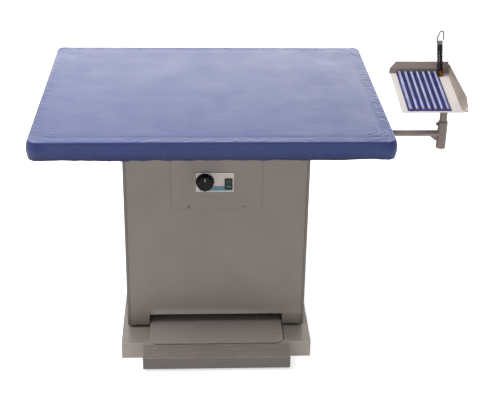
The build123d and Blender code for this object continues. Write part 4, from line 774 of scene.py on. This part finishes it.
def cover_profile():
    """(inset, height) pairs from the top over the edge, down the skirt and in under the board."""
    top, bottom = cover_high.z, cover_low.z
    points = [(TOP_INSET - TOP_GAP * i, top) for i in range(TOP_ROWS)]
    points += arc(EDGE_R, top - EDGE_R, EDGE_R, 90, 0, EDGE_ROWS)
    wall = top - EDGE_R - (bottom + HEM_R)
    points += [(0.0, top - EDGE_R - wall * i / WALL_ROWS) for i in range(WALL_ROWS + 1)]
    points += arc(HEM_R, bottom + HEM_R, HEM_R, 0, -90, HEM_ROWS)
    points += [(HEM_R + (LIP - HEM_R) * i / LIP_ROWS, bottom) for i in range(LIP_ROWS + 1)]
    return points


def cover_slack(verts, outward, corner, depth):
    """The cloth before it settles: soft waves along the skirt, bagged corners with pleats, a wavering hem."""
    moved = verts.copy()
    skirt = np.clip((cover_high.z - EDGE_R - verts[:, 2]) / (cover_high.z - cover_low.z), 0, 1)
    under = (depth > HEM_R) & (skirt > 0.5)
    for i, (x, y, _) in enumerate(verts):
        slow = noise.noise(Vector((x * SLOW_WAVES, y * SLOW_WAVES, SLOW_SEED)))
        quick = noise.noise(Vector((x * QUICK_WAVES, y * QUICK_WAVES, QUICK_SEED)))
        near, down = corner[i], skirt[i]
        belly = math.sin(math.pi * min(1.0, BAG_REACH_SHARE * down)) if down > 0 else 0.0
        pleat = math.sin(outward[i][2] * PLEATS) * 0.5 + 0.5
        push = (OUT_SLOW * slow + OUT_QUICK * quick + near * OUT_PLEAT * pleat) * down
        push += near * OUT_BAG * belly
        drop = (DOWN_SLOW * slow + DOWN_QUICK * quick) * down ** 2
        drop += near * DOWN_CORNER * down ** 2 * (1 - PLEAT_SHARE + PLEAT_SHARE * pleat)
        if under[i]:
            push *= UNDER_SHARE
        moved[i, 0] += outward[i][0] * push
        moved[i, 1] += outward[i][1] * push
        moved[i, 2] -= drop
    return moved


def board_block():
    """The board inside the cover, for the cloth to lie against while it settles."""
    course = track(pad_high.x - BOARD_X, pad_high.y, PAD_R, PAD_STEP)
    low, high = cover_low.z + BLOCK_RISE, pad_high.z
    profile = [(BLOCK_EDGE, high), (0.0, high - BLOCK_EDGE), (0.0, low), (PAD_INSET, low)]
    verts, faces, _ = shell(course, PAD_R, profile, closed=True)
    return new_piece("board_block", verts, faces, "felt")


def cloth_physics(piece, block):
    """Soft cotton that is held at one group of points, shrinks at another and lies against the block."""
    block.modifiers.new("Collision", "COLLISION")
    block.collision.thickness_outer = CLOTH_GAP
    cloth = piece.modifiers.new("Cloth", "CLOTH")
    cloth.settings.quality = 5
    cloth.settings.mass = 0.25
    cloth.settings.tension_stiffness = 25
    cloth.settings.compression_stiffness = 15
    cloth.settings.bending_stiffness = 0.6
    cloth.settings.vertex_group_mass = "held"
    cloth.settings.vertex_group_shrink = "drawn"
    cloth.settings.shrink_min = 0.0
    cloth.settings.shrink_max = 0.05
    cloth.collision_settings.use_collision = True
    cloth.collision_settings.distance_min = CLOTH_GAP


def settled(piece, block, held, drawn):
    """Lets the cloth settle on the block, held by the shares given and shrinking at the drawn points. It moves
    each point by no more than MOST_MOVED, and inwards by no more than MOST_SUNK, which keeps it off the pad,
    and leaves a plain mesh."""
    rest = np.array([v.co for v in piece.data.vertices])
    outside = np.array([v.normal for v in piece.data.vertices])
    group = piece.vertex_groups.new(name="held")
    for i, weight in enumerate(held):
        if weight > 0:
            group.add([i], float(weight), "REPLACE")
    shrinking = piece.vertex_groups.new(name="drawn")
    shrinking.add([int(i) for i in np.nonzero(drawn)[0]], 1.0, "REPLACE")
    cloth_physics(piece, block)
    scene = bpy.context.scene
    for number in range(1, SETTLE_FRAMES + 1):
        scene.frame_set(number)
    now = piece.evaluated_get(bpy.context.evaluated_depsgraph_get()).data
    moved = np.array([v.co for v in now.vertices]) - rest
    inward = np.minimum(0.0, (moved * outside).sum(axis=1) + MOST_SUNK)
    moved -= outside * inward[:, None]
    length = np.linalg.norm(moved, axis=1)
    share = np.minimum(1.0, MOST_MOVED / np.maximum(length, 1e-9))
    piece.modifiers.clear()
    for vertex, place in zip(piece.data.vertices, rest + moved * share[:, None]):
        vertex.co = place
    bpy.data.objects.remove(block, do_unlink=True)
    scene.frame_set(1)


def board_cover():
    """The fitted sheet: modelled loose, settled, then made thick and finer."""
    course = track(cover_high.x - BOARD_X, cover_high.y, COVER_R, COVER_STEP)
    inner_x, inner_y = course[2:4]
    profile = cover_profile()
    verts, faces, count = shell(course, COVER_R, profile)
    extra = len(verts) - count * len(profile)
    outward = [(x, y, math.atan2(y, x)) for x, y in course[1]] * len(profile) + [(0.0, 0.0, 0.0)] * extra
    depth = np.concatenate([np.repeat([inset for inset, _ in profile], count), np.full(extra, inner_y)])
    flat_x, flat_y = np.abs(verts[:, 0] - BOARD_X), np.abs(verts[:, 1] - BOARD_Y)
    reach = np.hypot(np.clip(inner_x - flat_x, 0, None), np.clip(inner_y - flat_y, 0, None))
    corner = eased(np.clip(1 - reach / CORNER_REACH, 0, 1))
    verts = cover_slack(verts, outward, corner, depth)
    cover = new_piece("board_cover_cloth", verts, faces, "cover_cloth")
    on_top = np.abs(verts[:, 2] - cover_high.z) < NEAR
    held = np.where(on_top, eased(np.clip((depth - HELD_FROM) / HELD_OVER, 0, 1)), 0.0)
    # The hem shrinks and draws in. The flat top is among these points too, but it is held.
    settled(cover, board_block(), held, drawn=depth >= LIP - NEAR)
    thick = cover.modifiers.new("Thickness", "SOLIDIFY")
    thick.thickness, thick.offset = CLOTH_T, -1.0
    finer = cover.modifiers.new("Smooth", "SUBSURF")
    finer.levels, finer.render_levels, finer.use_limit_surface = 1, 1, False
    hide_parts("board_cover")
    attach(cover, "stand")
    return cover


def felt_pad():
    """The pad under the cover: a soft slab with a round rim."""
    course = track(pad_high.x - BOARD_X, pad_high.y, PAD_R, PAD_STEP)
    low, high = pad_low.z, pad_high.z - PAD_DROP
    rim = (high - low) / 2
    profile = [(PAD_INSET, high), (rim, high)] + arc(rim, low + rim, rim, 90, -90, PAD_ROWS)
    profile += [(rim, low), (PAD_INSET, low)]
    verts, faces, _ = shell(course, PAD_R, profile, closed=True)
    pad = new_piece("felt_pad_soft", verts, faces, "felt")
    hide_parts("felt_pad")
    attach(pad, "stand")
    return pad


# Coiled springs: the sides of their wire, the points in a turn, and the bend at each end as shares of the
# wire and of the bend
WIRE_SIDES, TURN_PARTS = 8, 20
LEAD_SHARE, BEND_OUT_SHARE, BEND_UP_SHARE = 1.1, 0.3, 0.72


def helix(radius, wire, pitch, turns):
    """Points of a close-wound spring along Z, from the straight end at its foot to the one at its top."""
    lead = LEAD_SHARE * wire
    foot = wire + lead
    top = foot + pitch * turns
    line = [
        Vector((radius, -lead, 0)),
        Vector((radius, -lead, wire)),
        Vector((radius, -lead * BEND_OUT_SHARE, wire + lead * BEND_UP_SHARE)),
    ]
    for k in range(turns * TURN_PARTS + 1):
        angle = 2 * math.pi * k / TURN_PARTS
        height = foot + pitch * k / TURN_PARTS
        line.append(Vector((radius * math.cos(angle), radius * math.sin(angle), height)))
    line += [
        Vector((radius, lead * (1 - BEND_OUT_SHARE), top + lead * (1 - BEND_UP_SHARE))),
        Vector((radius, lead, top + lead)),
        Vector((radius, lead, top + lead + wire)),
    ]
    return line


def tube(points, normal, wire, verts, faces):
    """Adds a round wire along the points, closed at both ends."""
    start, last = len(verts), len(points) - 1
    for k, point in enumerate(points):
        ahead = (points[min(k + 1, last)] - points[max(k - 1, 0)]).normalized()
        normal = (normal - ahead * normal.dot(ahead)).normalized()
        other = ahead.cross(normal)
        for i in range(WIRE_SIDES):
            angle = 2 * math.pi * i / WIRE_SIDES
            verts.append(point + (normal * math.cos(angle) + other * math.sin(angle)) * wire / 2)
    for k in range(last):
        for i in range(WIRE_SIDES):
            j = (i + 1) % WIRE_SIDES
            a, b = start + k * WIRE_SIDES, start + (k + 1) * WIRE_SIDES
            faces.append((a + i, a + j, b + j, b + i))
    faces.append(tuple(start + i for i in reversed(range(WIRE_SIDES))))
    faces.append(tuple(start + last * WIRE_SIDES + i for i in range(WIRE_SIDES)))


def coil(name, bases, finish, radius, wire, pitch, turns, up=Vector((0, 0, 1)), side=Vector((1, 0, 0))):
    """Springs that stand on their bases, as one piece."""
    across = up.cross(side)
    verts, faces = [], []
    for base in bases:
        points = [base + side * p.x + across * p.y + up * p.z for p in helix(radius, wire, pitch, turns)]
        tube(points, side, wire, verts, faces)
    return new_piece(name, verts, faces, finish)


# Iron's cable support: its foot on the tray, the lean it shares with its socket, and where along it the
# spring starts and the part lies that bends when the cable pulls the hook
SUPPORT_FOOT = Vector((0.676417, -0.108414, 0.994423))
SUPPORT_LEAN = math.radians(5.6)
SUPPORT_UP = Vector((-math.sin(SUPPORT_LEAN), 0, math.cos(SUPPORT_LEAN)))
SUPPORT_SIDE = Vector((math.cos(SUPPORT_LEAN), 0, math.sin(SUPPORT_LEAN)))
SUPPORT_START, SUPPORT_BEND_FROM, SUPPORT_BEND_TO = 0.020, 0.022, 0.118


def support_spring():
    """The cable support's close-wound spring, between tray and hook."""
    spring = coil("support_spring_coil", [SUPPORT_FOOT + SUPPORT_UP * SUPPORT_START], "dark_spring",
                  radius=0.0089, wire=0.0021, pitch=0.00262, turns=35, up=SUPPORT_UP, side=SUPPORT_SIDE)
    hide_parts("support_spring")
    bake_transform(spring)


RETURN_R, RETURN_WIRE = 0.0055, 0.0015


def return_springs():
    """The two springs that lift the treadle."""
    y = (springs_low.y + springs_high.y) / 2
    reach = RETURN_R + RETURN_WIRE / 2
    bases = [Vector((x, y, springs_low.z)) for x in (springs_low.x + reach, springs_high.x - reach)]
    springs = coil("return_springs_coil", bases, "spring_steel",
                   radius=RETURN_R, wire=RETURN_WIRE, pitch=0.003, turns=18)
    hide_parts("return_springs")
    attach(springs, "stand")
    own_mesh(springs)


# Printed pieces: how far they stand out, the dial's ring and scale (turns in degrees), and the knob's line
PRINT_T = 0.0002
RING_R, RING_POINTS = 0.0325, 60
TICKS, FIRST_TICK, TICK_TURN = 11, 225, 27
TICK_IN, TICK_OUT, LONG_TICK_OUT, TICK_HALF = 0.0283, 0.0302, 0.0315, 0.0005
POINTER_IN, POINTER_OUT, POINTER_HALF = 0.010, 0.0225, 0.0007


def plate(name, outline, y, finish):
    """A thin raised shape on an upright face that looks towards -Y, from its (x, z) outline."""
    count = len(outline)
    verts = [(x, y, z) for x, z in outline] + [(x, y - PRINT_T, z) for x, z in outline]
    faces = [tuple(range(count, 2 * count)), tuple(reversed(range(count)))]
    faces += [(i, (i + 1) % count, count + (i + 1) % count, count + i) for i in range(count)]
    made = new_piece(name, verts, faces, finish, smooth=False)
    bm = bmesh.new()
    bm.from_mesh(made.data)
    bmesh.ops.recalc_face_normals(bm, faces=bm.faces)
    bm.to_mesh(made.data)
    bm.free()
    return made


def spoke(angle, inner, outer, half):
    """(x, z) outline of a straight mark that points away from the knob's middle."""
    ahead = Vector((math.cos(angle), math.sin(angle)))
    aside = Vector((-ahead.y, ahead.x)) * half
    corners = [ahead * inner - aside, ahead * outer - aside, ahead * outer + aside, ahead * inner + aside]
    return [(KNOB.x + p.x, KNOB.z + p.y) for p in corners]


def dial_marks():
    """Dark ring round the knob, partly the knob's own fuller width and partly painted shade round it, with its
    printed scale: a tick every 27 degrees, every fifth one longer.
    """
    turns = [2 * math.pi * i / RING_POINTS for i in range(RING_POINTS)]
    around = [(KNOB.x + RING_R * math.cos(turn), KNOB.z + RING_R * math.sin(turn)) for turn in turns]
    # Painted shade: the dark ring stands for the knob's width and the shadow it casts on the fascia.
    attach(plate("dial_ring_and_knob_shade", around, fascia_low.y, "knob_plastic"), "stand")
    for k in range(TICKS):
        outer = TICK_OUT if k % 5 else LONG_TICK_OUT
        outline = spoke(math.radians(FIRST_TICK - TICK_TURN * k), TICK_IN, outer, TICK_HALF)
        mark = plate(f"dial_mark_{k}", outline, fascia_low.y - PRINT_T, "dial_print")
        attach(mark, "stand")


def knob_pointer():
    """White line let into the knob's face, upright at rest."""
    outline = spoke(math.pi / 2, POINTER_IN, POINTER_OUT, POINTER_HALF)
    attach(plate("knob_pointer", outline, KNOB.y, "dial_print"), "knob")


# Studio
FLOOR_HALF = 30
CAMERA_PLACE, CAMERA_LENS, CAMERA_SENSOR = (-0.1835, -3.6845, 2.289), 78.12, 36.0
CAMERA_PITCH, CAMERA_YAW, CAMERA_ROLL = math.radians(26.43), math.radians(3.20), math.radians(1.15)


def floor():
    """A plain floor, much wider than the view."""
    corners = [(-FLOOR_HALF, -FLOOR_HALF, 0), (FLOOR_HALF, -FLOOR_HALF, 0), (FLOOR_HALF, FLOOR_HALF, 0),
               (-FLOOR_HALF, FLOOR_HALF, 0)]
    ground = new_piece("studio_floor", corners, [(0, 1, 2, 3)], "floor_white", smooth=False)


def surroundings():
    """Even white light from all round."""
    world = bpy.data.worlds.new("studio")
    bpy.context.scene.world = world
    world.use_nodes = True
    background = world.node_tree.nodes["Background"]
    background.inputs["Color"].default_value = (1.0, 1.0, 1.0, 1.0)
    background.inputs["Strength"].default_value = 0.35


def lamp(name, place, target, width, height, power):
    """A rectangular lamp that looks at its target."""
    light = bpy.data.lights.new(name, "AREA")
    light.shape = "RECTANGLE"
    light.size, light.size_y, light.energy = width, height, power
    made = bpy.data.objects.new(name, light)
    bpy.context.collection.objects.link(made)
    made.location = place
    made.rotation_euler = (Vector(target) - Vector(place)).to_track_quat("-Z", "Y").to_euler()


def camera():
    """The photograph's view, as fitted to the edges of the board, the cabinet and the iron rest."""
    level = math.cos(CAMERA_PITCH)
    ahead = Vector((math.sin(CAMERA_YAW) * level, math.cos(CAMERA_YAW) * level, -math.sin(CAMERA_PITCH)))
    right = Vector((math.cos(CAMERA_YAW), -math.sin(CAMERA_YAW), 0))
    up = right.cross(ahead)
    wide = right * math.cos(CAMERA_ROLL) + up * math.sin(CAMERA_ROLL)
    tall = up * math.cos(CAMERA_ROLL) - right * math.sin(CAMERA_ROLL)
    data = bpy.data.cameras.new("camera")
    data.lens, data.sensor_width = CAMERA_LENS, CAMERA_SENSOR
    made = bpy.data.objects.new("camera", data)
    bpy.context.collection.objects.link(made)
    turned = Matrix((wide, tall, -ahead)).transposed().to_4x4()
    made.matrix_world = Matrix.Translation(CAMERA_PLACE) @ turned
    bpy.context.scene.camera = made


def dress_frame():
    """Gives each CAD node its finish."""
    for part in frame["record"]["subparts"]:
        for slot in frame["nodes"][part["node"]].material_slots:
            slot.material = finishes[part["material_slot"]]


for packed in bpy.data.materials:
    packed.name = "packed_" + packed.name
finishes = {make.__name__: make() for make in FINISHES}
dress_frame()
camera()
surroundings()
floor()
lamp("key", place=(-2.0, -0.9, 4.4), target=(-0.1, -0.2, 0.4), width=2.4, height=2.0, power=170)
lamp("back_card", place=(-0.1, 3.2, 1.3), target=(-0.1, 0.0, 0.9), width=5.0, height=0.8, power=105)
pad = felt_pad()
cover = board_cover()
support_spring()
return_springs()
dial_marks()
knob_pointer()
bpy.context.scene.view_settings.view_transform = "Standard"
